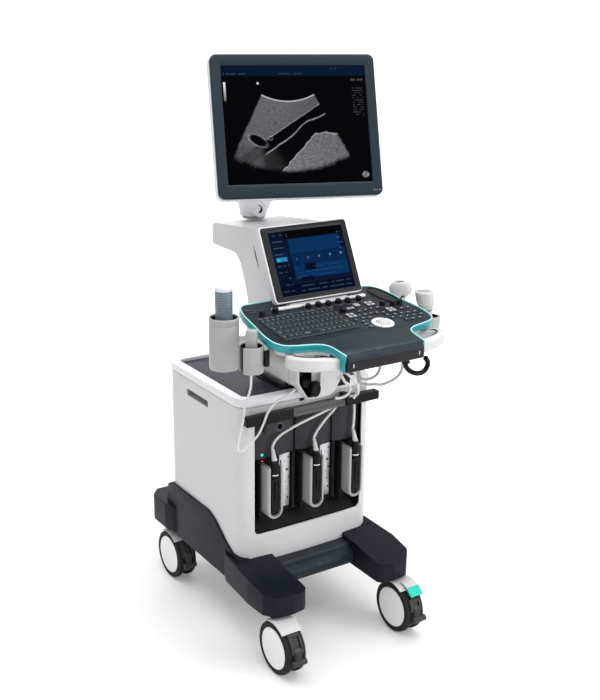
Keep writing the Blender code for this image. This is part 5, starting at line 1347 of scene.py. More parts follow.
    tn = math.radians(-33)
    f = oval2(xa, ya, tn)
    piece("convex_probe_body", loft([f(z, a, b) for z, a, b in sect]), PROBE, "convex_probe", smooth=60,
          instead_of=("probe_convex",))
    arc = []
    for k in range(25):
        t = math.radians(58 + 78 * k / 24)
        arc.append(Vector((xa + 0.0285 * math.cos(t) * math.cos(tn) + 0.0100 * math.sin(tn), ya + 0.0285 * math.cos(t) * math.sin(tn) - 0.0100 * math.cos(tn),
                           0.9295 + 0.0238 * math.sin(t))))
    piece("convex_probe_lens", wire(arc, 0.0028, 3, [0.25 + 0.75 * math.sin(math.pi * min(1.0, (k + 0.6) / 25)) for k in range(25)]), LENS, "convex_probe", smooth=50)
    sect = catmull([(0.835, 0.0095, 0.0095), (0.850, 0.0120, 0.0115), (0.876, 0.0130, 0.0122), (0.896, 0.0140, 0.0130), (0.908, 0.0170, 0.0150),
                    (0.918, 0.0225, 0.0190), (0.926, 0.0236, 0.0200), (0.942, 0.0240, 0.0202), (0.949, 0.0234, 0.0196), (0.9525, 0.0210, 0.0172)], 5)
    f = oval2(xb, yb, tn)
    lean_body = loft([f(z, a, b) for z, a, b in sect])
    for v in lean_body.data.vertices:
        t = min(1.0, max(0.0, (v.co.z - 0.868) / 0.085))
        v.co.x -= 0.0122 * t
        v.co.y += 0.0080 * t
    piece("phased_probe_body", lean_body, PROBE, "phased_probe", smooth=60,
          instead_of=("probe_phased",))
    piece("phased_probe_lens", prism(offset([(p[0], p[1]) for p in f(0, 0.0200, 0.0165)], -0.0035), 0.0016, at(-0.0122, 0.0080, 0.9526), bevel=0.0006), PROBE_GREY,
          "phased_probe", smooth=60)
    piece("phased_probe_line", lathe([(0.0128, 0.9030), (0.0176, 0.9030), (0.0176, 0.9040), (0.0128, 0.9040), (0.0128, 0.9030)], 48, at(xb - 0.0051, yb + 0.0033)), MID_GREY, "phased_probe")


monitor()
monitor_arm()
touch()
tower()
console()
holders()


# ------------------------------------------------------------------ cabinet
BAY_X0, BAY_X1, BAY_Z0, BAY_Z1 = -0.170, 0.175, 0.303, 0.625
FOOT_Z = 0.158
CONNECTOR_X = (-0.116, 0.016, 0.146)
ZC = (CAB_Z0 + CAB_Z1) / 2


def cabinet():
    shell = prism(CAB_LINE, CAB_Z1 - CAB_Z0, at(z=ZC))
    bay = prism(rounded_rect(BAY_X0, BAY_Z0, BAY_X1, BAY_Z1, 0.016, 10), 0.06, FRONT @ at(z=0.125))
    shell = cut(shell, prism(offset(CAB_LINE, -0.0035), 0.6, at(z=ZC)), bay,
                box((-0.1703, 0.270, 0.2347), (0.1703, 0.310, 0.6553)),
                box((-0.230, 0.052, 0.620), (-0.190, 0.173, 0.640), 0.004, 4))
    piece("cabinet_cover", shell, WHITE, "cart", edge=0.0011, instead_of=("cabinet_shell",), smooth=30)
    # the recessed grip behind the left slot
    grip = cut(box((-0.2075, 0.046, 0.614), (-0.1880, 0.179, 0.646), 0.004), box((-0.2200, 0.0515, 0.6195), (-0.1905, 0.1735, 0.6405), 0.003))
    piece("side_slot_cup", grip, GREY, "cart")
    # rolled frame round the bay opening
    path = [(x, -0.1262 - 0.004 * 0, z) for x, z in rounded_rect(BAY_X0 - 0.0012, BAY_Z0 - 0.0012, BAY_X1 + 0.0012, BAY_Z1 + 0.0012, 0.017, 10)]
    pts = []
    for x, y, z in path:
        w = 0.172
        front = CAB_Y0 - 0.006 * (1 - min(1.0, (x / w) ** 2))
        pts.append(Vector((x, front - 0.0002, z)))
    pts.append(pts[0])
    piece("bay_opening_bead", wire(pts, 0.0016, 3), GLOSS, "cart", smooth=60)
    # rear panel
    panel = box((-0.170, 0.2845, 0.235), (0.170, 0.2910, 0.655), 0.0014)
    vents = [box((0.020, 0.28, 0.440 + 0.022 * k), (0.160, 0.30, 0.448 + 0.022 * k), 0.0030) for k in range(7)]
    panel = cut(panel, cyl(0.046, 0.04, (-0.095, 0.288, 0.520), (0, 1, 0), n=64), *vents,
                box((0.090, 0.2800, 0.274), (0.120, 0.2950, 0.296)))
    piece("rear_cover", panel, GREY, "cart", edge=0.0006, instead_of=("rear_panel",))
    inlet = cut(box((0.0865, 0.2760, 0.2705), (0.1235, 0.2918, 0.2995), 0.001), box((0.0905, 0.2800, 0.2745), (0.1195, 0.2950, 0.2955), 0.002))
    pins = [box((x - 0.001, 0.278, 0.283), (x + 0.001, 0.288, 0.288)) for x in (0.0975, 0.105, 0.1125)]
    piece("mains_inlet", inlet, DARK, "cart")
    piece("mains_pins", join(*pins), STEEL, "cart")
    rings = []
    for r in (0.014, 0.024, 0.034, 0.044):
        rings.append(wire([(-0.095 + r * math.cos(a), 0.2893, 0.520 + r * math.sin(a)) for a in (math.tau * k / 48 for k in range(49))], 0.0010, 2))
    for k in range(6):
        a = math.tau * k / 6 + 0.3
        rings.append(wire([(-0.095 + q * math.cos(a), 0.2888, 0.520 + q * math.sin(a)) for q in (0.010, 0.030, 0.0475)], 0.0009, 2))
    piece("fan_guard", join(*rings), CHROME, "cart", smooth=60)
    scr = [cyl(0.0036, 0.0030, (x, 0.2915, z), (0, 1, 0), 20, bevel=0.0007) for x in (-0.160, 0.160) for z in (0.245, 0.350, 0.545, 0.645)]
    piece("rear_screws", join(*scr), STEEL, "cart")
    jacks = [cut(cyl(0.0065, 0.004, (x, 0.2920, 0.330), (0, 1, 0), 28), cyl(0.0040, 0.010, (x, 0.2930, 0.330), (0, 1, 0), 24))
             for x in (0.035, 0.055, 0.075)]
    ports = [cut(box((x - 0.008, 0.2890, 0.372), (x + 0.008, 0.2925, 0.380), 0.0008), box((x - 0.0065, 0.2900, 0.3735), (x + 0.0065, 0.2945, 0.3785)))
             for x in (0.035, 0.060, 0.085, 0.110)]
    piece("rear_ports", join(*jacks, *ports), STEEL, "cart")
    # top rim and inlay
    lip, hole = offset(CAB_LINE, 0.0025), offset(CAB_LINE, -0.0240)
    rim = cut(prism(lip, 0.0235, at(z=CAB_Z1 + GAP + 0.01175), bevel=0.0065, seg=5, angle=50), prism(hole, 0.08, at(z=CAB_Z1)))
    piece("top_rim_cover", rim, GLOSS, "cart", edge=0.0018, instead_of=("top_rim",), smooth=40)
    inl = cut(prism(offset(CAB_LINE, -0.0240 - GAP), 0.0155, at(z=CAB_Z1 + GAP + 0.00775), bevel=0.0012, seg=2, angle=50),
              box((-0.0565, -0.0715, 0.60), (0.0565, 0.0715, 0.75)))
    piece("top_inlay_mat", inl, INLAY, "cart", instead_of=("top_inlay",), smooth=40)
    # dark ring round the column opening; its darkness partly stands for the shadow under the support arm: painted shade
    ring = cut(prism(rounded_rect(-0.0615, -0.0765, 0.0615, 0.0765, 0.015, 8), 0.0040, at(z=0.6860), bevel=0.0012, seg=2, angle=50),
               prism(rounded_rect(-0.0560, -0.0710, 0.0560, 0.0710, 0.012, 8), 0.02, at(z=0.6860)))
    piece("column_gaiter_shade_ring", ring, DARK, "cart", smooth=40)

    # inside of the bay: side walls, sloping floor, back wall
    yb, yf = -0.0770, -0.1100
    liner = box((BAY_X0 - 0.009, yf, BAY_Z0 - 0.010), (BAY_X1 + 0.009, yb, BAY_Z1 + 0.010))
    hollow = prism([(yf - 0.05, BAY_Z0 - 0.012), (yf - 0.001, BAY_Z0 - 0.002), (-0.0810, 0.3340), (-0.0810, BAY_Z1 + 0.004),
                    (yf - 0.05, BAY_Z1 + 0.004)], BAY_X1 - BAY_X0 + 0.010, SIDE @ at(z=(BAY_X0 + BAY_X1) / 2))
    piece("bay_liner", cut(liner, hollow), DARK, "cart", edge=0.0015, instead_of=("connector_bay_liner",))
    # three crowned panels above the sockets
    for i, (xa, xb) in enumerate(((-0.1745, -0.0345), (-0.0295, 0.0855), (0.0905, 0.1795)), 1):
        front = []
        for k in range(17):
            t = k / 16
            crown = 1.0 - abs(2 * t - 1) ** 2.6
            front.append((xa + (xb - xa) * t, -0.0985 - 0.0125 * crown))
        outline = front + [(xb, -0.0800), (xa, -0.0800)]
        p = prism(outline, 0.116, at(z=0.5710), bevel=0.0020, seg=3, angle=50)
        piece("bay_panel_%d" % i, p, BAY, "cart", smooth=40)
    # socket plates with rows of contacts
    for i, cx in enumerate(CONNECTOR_X, 1):
        x0, x1 = cx + 0.0400, cx + 0.0750
        if i == 3:
            x0, x1 = cx + 0.0245, cx + 0.0310
        plate = box((x0, -0.0925, 0.3500), (x1, -0.0805, 0.5060), 0.0016, 3)
        piece("socket_plate_%d" % i, plate, STEEL, "cart")
        dots = []
        for r, (u, rr) in enumerate(((.25, .0020), (.8, .0026), (.3, .0014), (.7, .0014), (.22, .0030), (.6, .0014), (.85, .0022), (.3, .0016), (.7, .0034), (.25, .0018),
                                     (.5, .0014), (.82, .0022))):
            if i < 3 or r % 4 == 0:
                dots.append(cyl(rr, 0.0014, (x0 + u * (x1 - x0), -0.0925, 0.3640 + r * 0.0118), (0, 1, 0), 16))
        dots.append(box((x0 + 0.10 * (x1 - x0), -0.0934, 0.4020), (x0 + 0.18 * (x1 - x0), -0.0922, 0.4900)))
        piece("socket_contacts_%d" % i, join(*dots), DARK, "cart", smooth=30)
        guide = box((cx - 0.0300, -0.1080, 0.3370), (cx - 0.0262, -0.0800, 0.5110), 0.0012, 2)
        piece("socket_guide_%d" % i, guide, DARK, "cart")
        if i < 3:
            post = box((cx + 0.0775, -0.1000, 0.3400), (cx + 0.0870, -0.0800, 0.5120), 0.003, 3)
            piece("bay_post_%d" % i, post, DARK, "cart")

    # plug-in connectors
    for i, cx in enumerate(CONNECTOR_X, 1):
        w, z0, z1 = 0.0235, 0.347, 0.497

        def u_shape(half, top, low, m=20):
            return [(cx + half, top), (cx - half, top)] + \
                   [(cx + half * math.cos(a), low + w + half * math.sin(a)) for a in (math.pi + math.pi * k / m for k in range(m + 1))]

        body = prism(u_shape(w, z1, z0), 0.0600, FRONT @ at(z=0.1115), bevel=0.0042, seg=4, angle=40)
        body = cut(body, prism(u_shape(0.0165, z1 + 0.02, z0), 0.020, FRONT @ at(z=0.1440)))
        piece("connector_%d_case" % i, body, CUP_GREY, "cart", edge=0.0010, instead_of=("connector_%d" % i,))
        pocket = prism(u_shape(0.0162, z1 - 0.0025, z0 + 0.0003), 0.0012, FRONT @ at(z=0.1338))
        piece("connector_%d_pocket" % i, pocket, BLACK_GLOSS, "cart")
        plug = lathe([(0.0, 0.4670), (0.0100, 0.4670), (0.0108, 0.4690), (0.0108, 0.4780), (0.0122, 0.4800), (0.0126, 0.4920), (0.0118, 0.5010),
                      (0.0098, 0.5080), (0.0090, 0.5140), (0.0, 0.5140)], 40, at(cx, -0.1335))
        piece("connector_%d_boot" % i, plug, DARK, "cart", smooth=40)
        clip = lathe([(0.0109, 0.4735), (0.0118, 0.4735), (0.0118, 0.4765), (0.0109, 0.4765), (0.0109, 0.4735)], 40, at(cx, -0.1335))
        piece("connector_%d_clip" % i, clip, CHROME, "cart")
        neck = box((cx - 0.0120, -0.1300, 0.4900), (cx + 0.0120, -0.1000, 0.5150), 0.0030, 3)
        piece("connector_%d_neck" % i, neck, DARK, "cart")
        lean = (0.0010, 0.0005, 0.0)[i - 1]
        rel = []
        for k in range(20):
            t = k / 19
            rel.append((cx + lean * t ** 2.0, -0.1335 + 0.0110 * t, 0.5120 + 0.0300 * t))
        tp = [1.0 - 0.50 * (k / 19) ** 0.8 + (0.06 if k % 3 == 0 else 0.0) for k in range(20)]
        piece("connector_%d_relief" % i, wire([Vector(p) for p in rel], 0.0080, 4, tp), SOFT_WHITE, "cart", smooth=60)
        # latch lever
        lev = fillet([(cx + 0.0130, 0.4560), (cx + 0.0115, 0.4640), (cx - 0.0115, 0.4640), (cx - 0.0130, 0.4560),
                      (cx - 0.0130, z0 + w - 0.004), (cx + 0.0130, z0 + w - 0.004)], [0.003, 0.003, 0.003, 0.003, 0.008, 0.008], 6)
        lever = prism(lev, 0.0060, FRONT @ at(z=0.1385), bevel=0.0014, seg=3, angle=50)
        scoop = cut(lever, box((cx - 0.0092, -0.1445, 0.3950), (cx + 0.0092, -0.1398, 0.4560), 0.002, 3))
        piece("latch_%d_lever" % i, scoop, DARK, "latch_%d" % i, instead_of=("connector_latch_%d" % i,))
        spine = box((cx - 0.0028, -0.1424, 0.3990), (cx + 0.0028, -0.1396, 0.4520), 0.0012, 3)
        piece("latch_%d_spine" % i, spine, BLACK_GLOSS, "latch_%d" % i)

    # rail over the bay: two black bars, a grey hatch between them, a socket block below the left bar
    bar = prism(fillet([(-0.2105, 0.629), (-0.2105, 0.654), (-0.0665, 0.654), (-0.0665, 0.6285), (-0.120, 0.628)], [0.004, 0.004, 0.002, 0.003, 0.01], 5),
                0.0225, FRONT @ at(z=0.13925), bevel=0.0030, seg=4, angle=45)
    bar2 = prism(fillet([(0.1045, 0.6290), (0.2105, 0.629), (0.2105, 0.654), (0.1045, 0.654)],
                        [0.002, 0.004, 0.004, 0.002], 5), 0.0225, FRONT @ at(z=0.13925), bevel=0.0030, seg=4, angle=45)
    piece("rail_bar_left", bar, BLACK_GLOSS, "cart", instead_of=("cable_rail",), smooth=40)
    piece("rail_bar_right", bar2, BLACK_GLOSS, "cart", smooth=40)
    hatch = prism(fillet([(-0.0655, 0.6275), (0.1035, 0.6275), (0.1035, 0.6530), (-0.0655, 0.6530)], [0.004, 0.004, 0.005, 0.005], 5),
                  0.0170, FRONT @ at(z=0.1355), bevel=0.0030, seg=4, angle=45)
    piece("rail_hatch", hatch, HATCH, "cart", smooth=40)
    grip = box((-0.058, -0.1446, 0.6385), (0.096, -0.1436, 0.6395), 0.0003, 1)
    piece("rail_hatch_line", grip, DARK, "cart")
    block = cut(box((-0.1450, -0.1360, 0.5925), (-0.0700, -0.1040, 0.6270), 0.004, 4), cyl(0.0092, 0.03, (-0.1020, -0.1360, 0.6080), (0, 1, 0), 40))
    piece("rail_socket_block", block, BAY, "cart", edge=0.0005)
    piece("rail_socket_ring", lathe([(0.0086, 0.0), (0.0112, 0.0), (0.0112, 0.0012), (0.0100, 0.0018), (0.0086, 0.0012), (0.0086, 0.0)], 40,
                                    axis_matrix((-0.1020, -0.1360, 0.6080), (0, -1, 0))), MID_GREY, "cart", smooth=50)
    piece("status_light_teal", ball(0.0042, (-0.1398, -0.1090, 0.5255), 16, 10, (1, 0.6, 1)), LED_TEAL, "cart")
    piece("status_light_red", ball(0.0026, (-0.1379, -0.1070, 0.5070), 16, 10, (1, 0.6, 1)), LED_RED, "cart")
    piece("rail_cable_clip", union(box((0.0905, -0.1560, 0.6520), (0.1075, -0.1290, 0.6660), 0.003, 3),
                                   box((0.0960, -0.1590, 0.6420), (0.1020, -0.1490, 0.6700), 0.002, 3)), DARK, "cart", edge=0.0004)
    notches = [box((x - 0.0065, -0.1300, 0.6625), (x + 0.0065, -0.1205, 0.6682), 0.001, 2) for x in (-0.028, 0.060)]
    piece("rim_notches", join(*notches), DARK, "cart")

    # cables that stay with the cabinet
    runs = {
        "bay_cable_1": [(-.1150, .5400), (-.1125, .553), (-.1045, .5655), (-.0880, .5780), (-.066, .5865), (-.034, .5960), (.000, .6040), (.040, .6130), (.078, .6225), (.090, .6330)],
        "bay_cable_2": [(.0165, .5400), (.0190, .552), (.0300, .569), (.052, .592), (.077, .612), (.090, .6260), (.096, .6350)],
        "bay_cable_3": [(.1460, .5400), (.1470, .560), (.1475, .590), (.1475, .612), (.1475, .634)],
    }
    for nm, pts in runs.items():
        n = len(pts)
        p = [Vector((x, -0.1195 - 0.0030 * math.sin(math.pi * k / (n - 1)), z)) for k, (x, z) in enumerate(pts)]
        c = catmull([tuple(q) for q in p], 8)
        piece(nm, wire([Vector(q) for q in c], 0.0036, 4), CABLE, "cart", smooth=60)


# ------------------------------------------------------------------ base, casters, pedal
def base():
    side = fillet([(-0.1185, FOOT_Z), (0.335, FOOT_Z), (0.335, 0.2440), (0.3020, 0.2460), (0.2960, 0.3060), (0.270, 0.320), (0.050, 0.320),
                   (0.012, 0.306), (-0.017, 0.286), (-0.045, 0.266), (-0.080, 0.249), (-0.1185, 0.240)],
                  [0.003, 0.004, 0.004, 0.004, 0.010, 0.02, 0.06, 0.06, 0.10, 0.10, 0.08, 0.002], 7)
    skirt = prism(side, 0.437, SIDE, bevel=0.0050, seg=4, angle=50)
    cuts = [prism(offset(CAB_LINE, 0.0006), 0.2, at(z=0.2217 + 0.1))]
    for sx in (-0.1925, 0.1925):
        for sy in (-0.265, 0.331):
            cuts.append(cyl(0.0114, 0.090, (sx, sy, FOOT_Z - 0.003), n=32))
    piece("base_skirt", cut(skirt, *cuts), NAVY, "cart", instead_of=("base_frame",), smooth=40)
    for tag, s in (("right", 1), ("left", -1)):
        low = fillet([(0.1166, -0.095), (0.1166, -0.2900), (0.1270, -0.3010), (0.160, -0.3070), (0.208, -0.3020), (0.2350, -0.2700),
                      (0.2390, -0.200), (0.2285, -0.065), (0.2180, -0.040), (0.2180, 0.020), (0.1900, 0.020)],
                     [0.002, 0.010, 0.02, 0.03, 0.018, 0.020, 0.06, 0.02, 0.02, 0.002, 0.002], 6)
        if s < 0:
            low = list(reversed(mirror_x(low)))
        foot = prism(low, 0.2405 - FOOT_Z, at(z=(0.2405 + FOOT_Z) / 2), bevel=0.0075, seg=5, angle=50)
        for v in foot.data.vertices:
            t = (v.co.z - FOOT_Z) / (0.2405 - FOOT_Z)
            v.co.z -= max(0.0, t) * 0.0270 * min(1.0, max(0.0, (-0.125 - v.co.y) / 0.175)) ** 1.1
        cuts = [prism(offset(CAB_LINE, 0.0006), 0.2, at(z=0.2217 + 0.1)), cyl(0.0114, 0.090, (s * 0.1925, -0.265, FOOT_Z - 0.003), n=32)]
        piece("base_foot_front_" + tag, cut(foot, *cuts), NAVY, "cart", smooth=40)
        rear = fillet([(0.120, 0.270), (0.2180, 0.225), (0.2330, 0.290), (0.2330, 0.366), (0.207, 0.397), (0.145, 0.397),
                       (0.120, 0.381)], [0.002, 0.05, 0.022, 0.016, 0.016, 0.016, 0.010], 6)
        if s < 0:
            rear = list(reversed(mirror_x(rear)))
        foot = prism(rear, 0.0800, at(z=0.2060), bevel=0.0110, seg=6, angle=50)
        cuts = [prism(offset(CAB_LINE, 0.0006), 0.2, at(z=0.2217 + 0.1)), cyl(0.0114, 0.090, (s * 0.1925, 0.331, FOOT_Z - 0.003), n=32)]
        piece("base_foot_rear_" + tag, cut(foot, *cuts), NAVY, "cart", smooth=40)
    prof = fillet([(-0.1805, 0.178), (-0.176, 0.168), (-0.166, 0.160), (-0.1190, 0.160), (-0.1190, 0.2210),
                   (-0.1560, 0.2210), (-0.1600, 0.214), (-0.170, 0.209), (-0.178, 0.200), (-0.1815, 0.189)],
                  [0.006, 0.006, 0.006, 0.001, 0.001, 0.003, 0.004, 0.006, 0.008, 0.01], 5)
    piece("cross_bar_cover", prism(prof, 2 * (0.1165 - 0.0003), SIDE), SLATE, "cart", edge=0.0008, instead_of=("base_cross_bar",), smooth=40)
    # socket rings above the caster stems
    cups = []
    for sx in (-0.1925, 0.1925):
        for sy in (-0.265, 0.331):
            cups.append(lathe([(0.0118, FOOT_Z - 0.0002), (0.0205, FOOT_Z - 0.0002), (0.0205, FOOT_Z + 0.002), (0.0118, FOOT_Z + 0.002), (0.0118, FOOT_Z - 0.0002)], 40, at(sx, sy)))
    for o in cups:
        o.data.transform(at(z=0.0))
    piece("stem_washers", join(*cups), STEEL, "cart")


def caster(tag, x, stem_y, pedal):
    wy, wz = stem_y - 0.033, 0.0716
    R = 0.0716
    body, wheels = "caster_" + tag, "wheels_" + tag
    # grey plate body with the toe, seen between and above the wheels
    arc = [(wy + 0.0738 * math.cos(a), wz + 0.0738 * math.sin(a)) for a in (math.radians(8 + 157 * k / 30) for k in range(31))]
    low = [(wy - 0.0600, wz - 0.012), (wy - 0.0625, wz - 0.032), (wy - 0.056, wz - 0.038), (wy - 0.040, wz - 0.040), (wy, wz - 0.022), (wy + 0.034, wz - 0.018)]
    plate = prism(arc + low, 0.019, SIDE @ at(z=x), bevel=0.0022, seg=3, angle=40)
    plate = cut(plate, cyl(0.0062, 0.06, (x, wy, wz), (1, 0, 0), n=24))
    neck = lathe([(0.0, 0.1350), (0.0120, 0.1350), (0.0150, 0.1400), (0.0185, 0.1440), (0.0190, 0.1470), (0.0190, 0.1560), (0.0178, 0.1572),
                  (0.0110, 0.1573), (0.0110, 0.1950), (0.0, 0.1950)], 48, at(x, stem_y))
    piece(tag + "_fork", union(plate, neck), CASTER_GREY, body, instead_of=("caster_fork_" + tag,), smooth=40)
    # white fender over the top and front of the pair
    a0, a1 = (58, 121) if pedal else (58, 127)
    outer, inner = [], []
    for k in range(33):
        a = math.radians(a0 + (a1 - a0) * k / 32)
        outer.append((wy + 0.0766 * math.cos(a), wz + 0.0766 * math.sin(a)))
        inner.append((wy + 0.0742 * math.cos(a), wz + 0.0742 * math.sin(a)))
    fender = prism(outer + list(reversed(inner)), 0.0610, SIDE @ at(z=x), bevel=0.0009, seg=3, angle=50)
    fender = cut(fender, cyl(0.0192, 0.04, (x, stem_y, 0.150), n=40))
    piece(tag + "_fender", fender, WHITE, body, smooth=40)
    # front housing between the wheels with a slotted recess, and the round toe below it
    a2 = 143 if pedal else 128
    def pol(r, deg):
        a = math.radians(deg)
        return (wy + r * math.cos(a), wz + r * math.sin(a))
    outer = [pol(0.0772, a2 + (168 - a2) * k / 14) for k in range(15)]
    inner = [pol(0.0728, 168 - (168 - a2) * k / 14) for k in range(15)]
    hood = prism(outer + inner, 0.0340, SIDE @ at(z=x), bevel=0.0010, seg=3, angle=50)
    w2 = a2 + 7
    window = prism([pol(0.090, w2), pol(0.090, 161), pol(0.060, 161), pol(0.060, w2)], 0.0200, SIDE @ at(z=x + 0.002))
    hood = cut(hood, window)
    piece(tag + "_hood", hood, CASTER_GREY, body, smooth=40)
    core = prism([pol(0.0735, 134 + 3 * k) for k in range(11)] + [pol(0.0600, 164), pol(0.0600, 134)], 0.0200, SIDE @ at(z=x), bevel=0.0010, seg=2, angle=50)
    piece(tag + "_hood_core", core, DARK, body, smooth=40)
    ty, tz = pol(0.0795, 186)
    tx = x + (0.006 if pedal else 0.002)
    toe = union(cyl(0.0088, 0.0400, (tx, ty, tz), (1, 0, 0), 36, bevel=0.0022, seg=3),
                prism([pol(0.0760, 158), pol(0.0815, 162), pol(0.0830, 184), pol(0.0790, 196), pol(0.0720, 205), pol(0.0600, 198), pol(0.0600, 158)], 0.0190, SIDE @ at(z=x), bevel=0.0015, seg=2, angle=50))
    piece(tag + "_toe", toe, CASTER_GREY, body, smooth=40)

    # two wheels: rubber tyre, pale disc dished round a hub cap
    tyres, discs, caps, bands = [], [], [], []
    for s in (-1, 1):
        m = Matrix.Translation((x, wy, wz)) @ Matrix.Rotation(math.radians(90 * s), 4, 'Y')
        z0, z1 = 0.0112, 0.0290
        tyres.append(lathe([(0.0560, z0), (R - 0.0030, z0), (R - 0.0008, z0 + 0.0012), (R, z0 + 0.0040), (R, z1 - 0.0060), (R - 0.0012, z1 - 0.0025),
                            (R - 0.0040, z1 - 0.0006), (R - 0.0070, z1 - 0.0002), (R - 0.0082, z1 - 0.0010), (R - 0.0098, z1 - 0.0010),
                            (R - 0.0110, z1 - 0.0003), (R - 0.0142, z1 - 0.0004), (0.0565, z1 - 0.0010), (0.0560, z1 - 0.0030), (0.0560, z0)], 96, m))
        discs.append(lathe([(0.0, z0 + 0.0004), (0.0558, z0 + 0.0004), (0.0558, z1 - 0.0016), (0.0550, z1 - 0.0005), (0.0535, z1 - 0.0002),
                            (0.0500, z1 - 0.0004), (0.0420, z1 - 0.0002), (0.0300, z1 + 0.0001), (0.0180, z1 + 0.0003), (0.0120, z1 + 0.0004),
                            (0.0, z1 + 0.0004)], 80, m))
    piece(tag + "_tyres", join(*tyres), TYRE, wheels, instead_of=("wheel_pair_" + tag,), smooth=50)
    piece(tag + "_discs", join(*discs), DISC_PAINTED_LIGHT, wheels, smooth=50)
    if pedal:
        a = (wy - 0.020, 0.1487)
        prof = fillet([(wy - 0.0440, 0.1400), (wy - 0.0440, 0.1476), (wy - 0.0520, 0.1430), (wy - 0.0660, 0.1320),
                       (wy - 0.0672, 0.1280), (wy - 0.0640, 0.1272), (wy - 0.0520, 0.1350)], [0.002, 0.003, 0.02, 0.003, 0.002, 0.002, 0.02], 6)
        pad = prism(prof, 0.0400, SIDE @ at(z=x + 0.0060), bevel=0.0016, seg=3, angle=50)
        piece("pedal_pad", pad, PEDAL, "pedal", instead_of=("brake_pedal",), smooth=45)
        ribs = [cyl(0.0010, 0.034, (x + 0.0060, wy - 0.050 - 0.0048 * k, 0.1441 - 0.0038 * k), (1, 0, 0), 12) for k in range(4)]
        piece("pedal_ribs", join(*ribs), PEDAL, "pedal")
        lever = prism(fillet([(wy - 0.0160, 0.1508), (wy - 0.0150, 0.1530), (wy - 0.0280, 0.1522), (wy - 0.0448, 0.1478), (wy - 0.0448, 0.1448), (wy - 0.0280, 0.1494)],
                             [0.001, 0.001, 0.01, 0.0008, 0.0008, 0.01], 5), 0.0380, SIDE @ at(z=x + 0.0060), bevel=0.0006)
        piece("pedal_lever", lever, WHITE, "pedal", smooth=45)
        piece("pedal_pin", cyl(0.0024, 0.040, (x + 0.006, a[0], a[1] + 0.0008), (1, 0, 0), 24, bevel=0.0006), WHITE, "pedal")


# ------------------------------------------------------------------ support arm, lock knob, columns
def arm():
    core = box((-0.0750, -0.1560, 0.7153), (0.0750, 0.0850, 0.8000), 0.012, 4)
    apron = prism(fillet([(-0.0750, 0.8000), (-0.0750, 0.7330), (-0.0400, 0.6795), (0.0400, 0.6795), (0.0750, 0.7330), (0.0750, 0.8000)],
                         [0.006, 0.040, 0.030, 0.030, 0.040, 0.006], 10), 0.0370, FRONT @ at(z=0.1555), bevel=0.0080, seg=5, angle=50)
    recess = prism(fillet([(-0.0680, 0.7720), (-0.0680, 0.7300), (-0.0400, 0.6860), (-0.0200, 0.6860), (-0.0200, 0.7720)],
                          [0.008, 0.030, 0.012, 0.006, 0.008], 8), 0.0500, FRONT @ at(z=0.1740))
    shelf = prism(fillet([(-0.0300, 0.7640), (-0.0300, 0.6860), (-0.0030, 0.6850), (-0.0010, 0.7600)], [0.004, 0.002, 0.010, 0.010], 8), 0.0300, FRONT @ at(z=0.1745))
    body = cut(union(core, apron), recess, shelf)
    piece("support_block", body, WHITE, "lift", edge=0.0012, instead_of=("support_arm",), smooth=38)
    rec = prism(fillet([(-0.0674, 0.7714), (-0.0674, 0.7302), (-0.0402, 0.6866), (-0.0300, 0.6866), (-0.0300, 0.7714)],
                       [0.008, 0.030, 0.012, 0.004, 0.006], 8), 0.0240, FRONT @ at(z=0.1608))
    hollow = prism(fillet([(-0.0664, 0.7704), (-0.0664, 0.7306), (-0.0406, 0.6876), (-0.0310, 0.6876), (-0.0310, 0.7704)],
                          [0.008, 0.029, 0.011, 0.003, 0.005], 8), 0.0400, FRONT @ at(z=0.1720))
    piece("support_recess", cut(rec, hollow), BLACK_GLOSS, "lift")
    # lock: a hub deep in the recess carries an oval turning grip on a crank
    hub = cyl(0.0120, 0.0160, (-0.0420, -0.1610, 0.7250), (0, 1, 0), 40, bevel=0.002)
    crank = prism(fillet([(-0.0500, 0.7300), (-0.0440, 0.7160), (-0.0200, 0.7000), (-0.0140, 0.7120), (-0.0360, 0.7320)], 0.004, 5), 0.0060, FRONT @ at(z=0.1670), bevel=0.0010)
    grip = prism([(-0.0190 + 0.0150 * math.cos(a), 0.7080 + 0.0215 * math.sin(a)) for a in (math.tau * k / 48 for k in range(48))], 0.0150,
                 FRONT @ at(z=0.1750), bevel=0.0045, seg=5, angle=50)
    dish = prism([(-0.0190 + 0.0095 * math.cos(a), 0.7080 + 0.0150 * math.sin(a)) for a in (math.tau * k / 40 for k in range(40))], 0.0040,
                 FRONT @ at(z=0.1835), bevel=0.0010, seg=2, angle=50)
    piece("lock_knob_grip", cut(union(hub, crank, grip), dish), DARK, "lock_knob", instead_of=("arm_lock_knob",), smooth=45)
    # seam on the block, its foot plate and the column sleeve
    seam = cut(box((-0.0756, -0.1375, 0.7170), (0.0756, -0.1363, 0.7985)), box((-0.0744, -0.15, 0.70), (0.0744, -0.12, 0.81)))
    piece("support_seam", seam, GREY, "lift")
    lower = prism(rounded_rect(-0.0700, -0.0760, 0.0700, 0.0790, 0.014, 8), 0.0014, at(z=0.7149), bevel=0.0005, seg=2, angle=50)
    piece("support_foot", lower, GREY, "lift")
    sleeve = cut(prism(rounded_rect(-0.0520, -0.0670, 0.0520, 0.0670, 0.012, 8), 0.0040, at(z=0.7120), bevel=0.0010, seg=2, angle=50),
                 prism(rounded_rect(-0.0467, -0.0617, 0.0467, 0.0617, 0.008, 8), 0.02, at(z=0.7120)))
    piece("column_sleeve", sleeve, DARK, "lift")


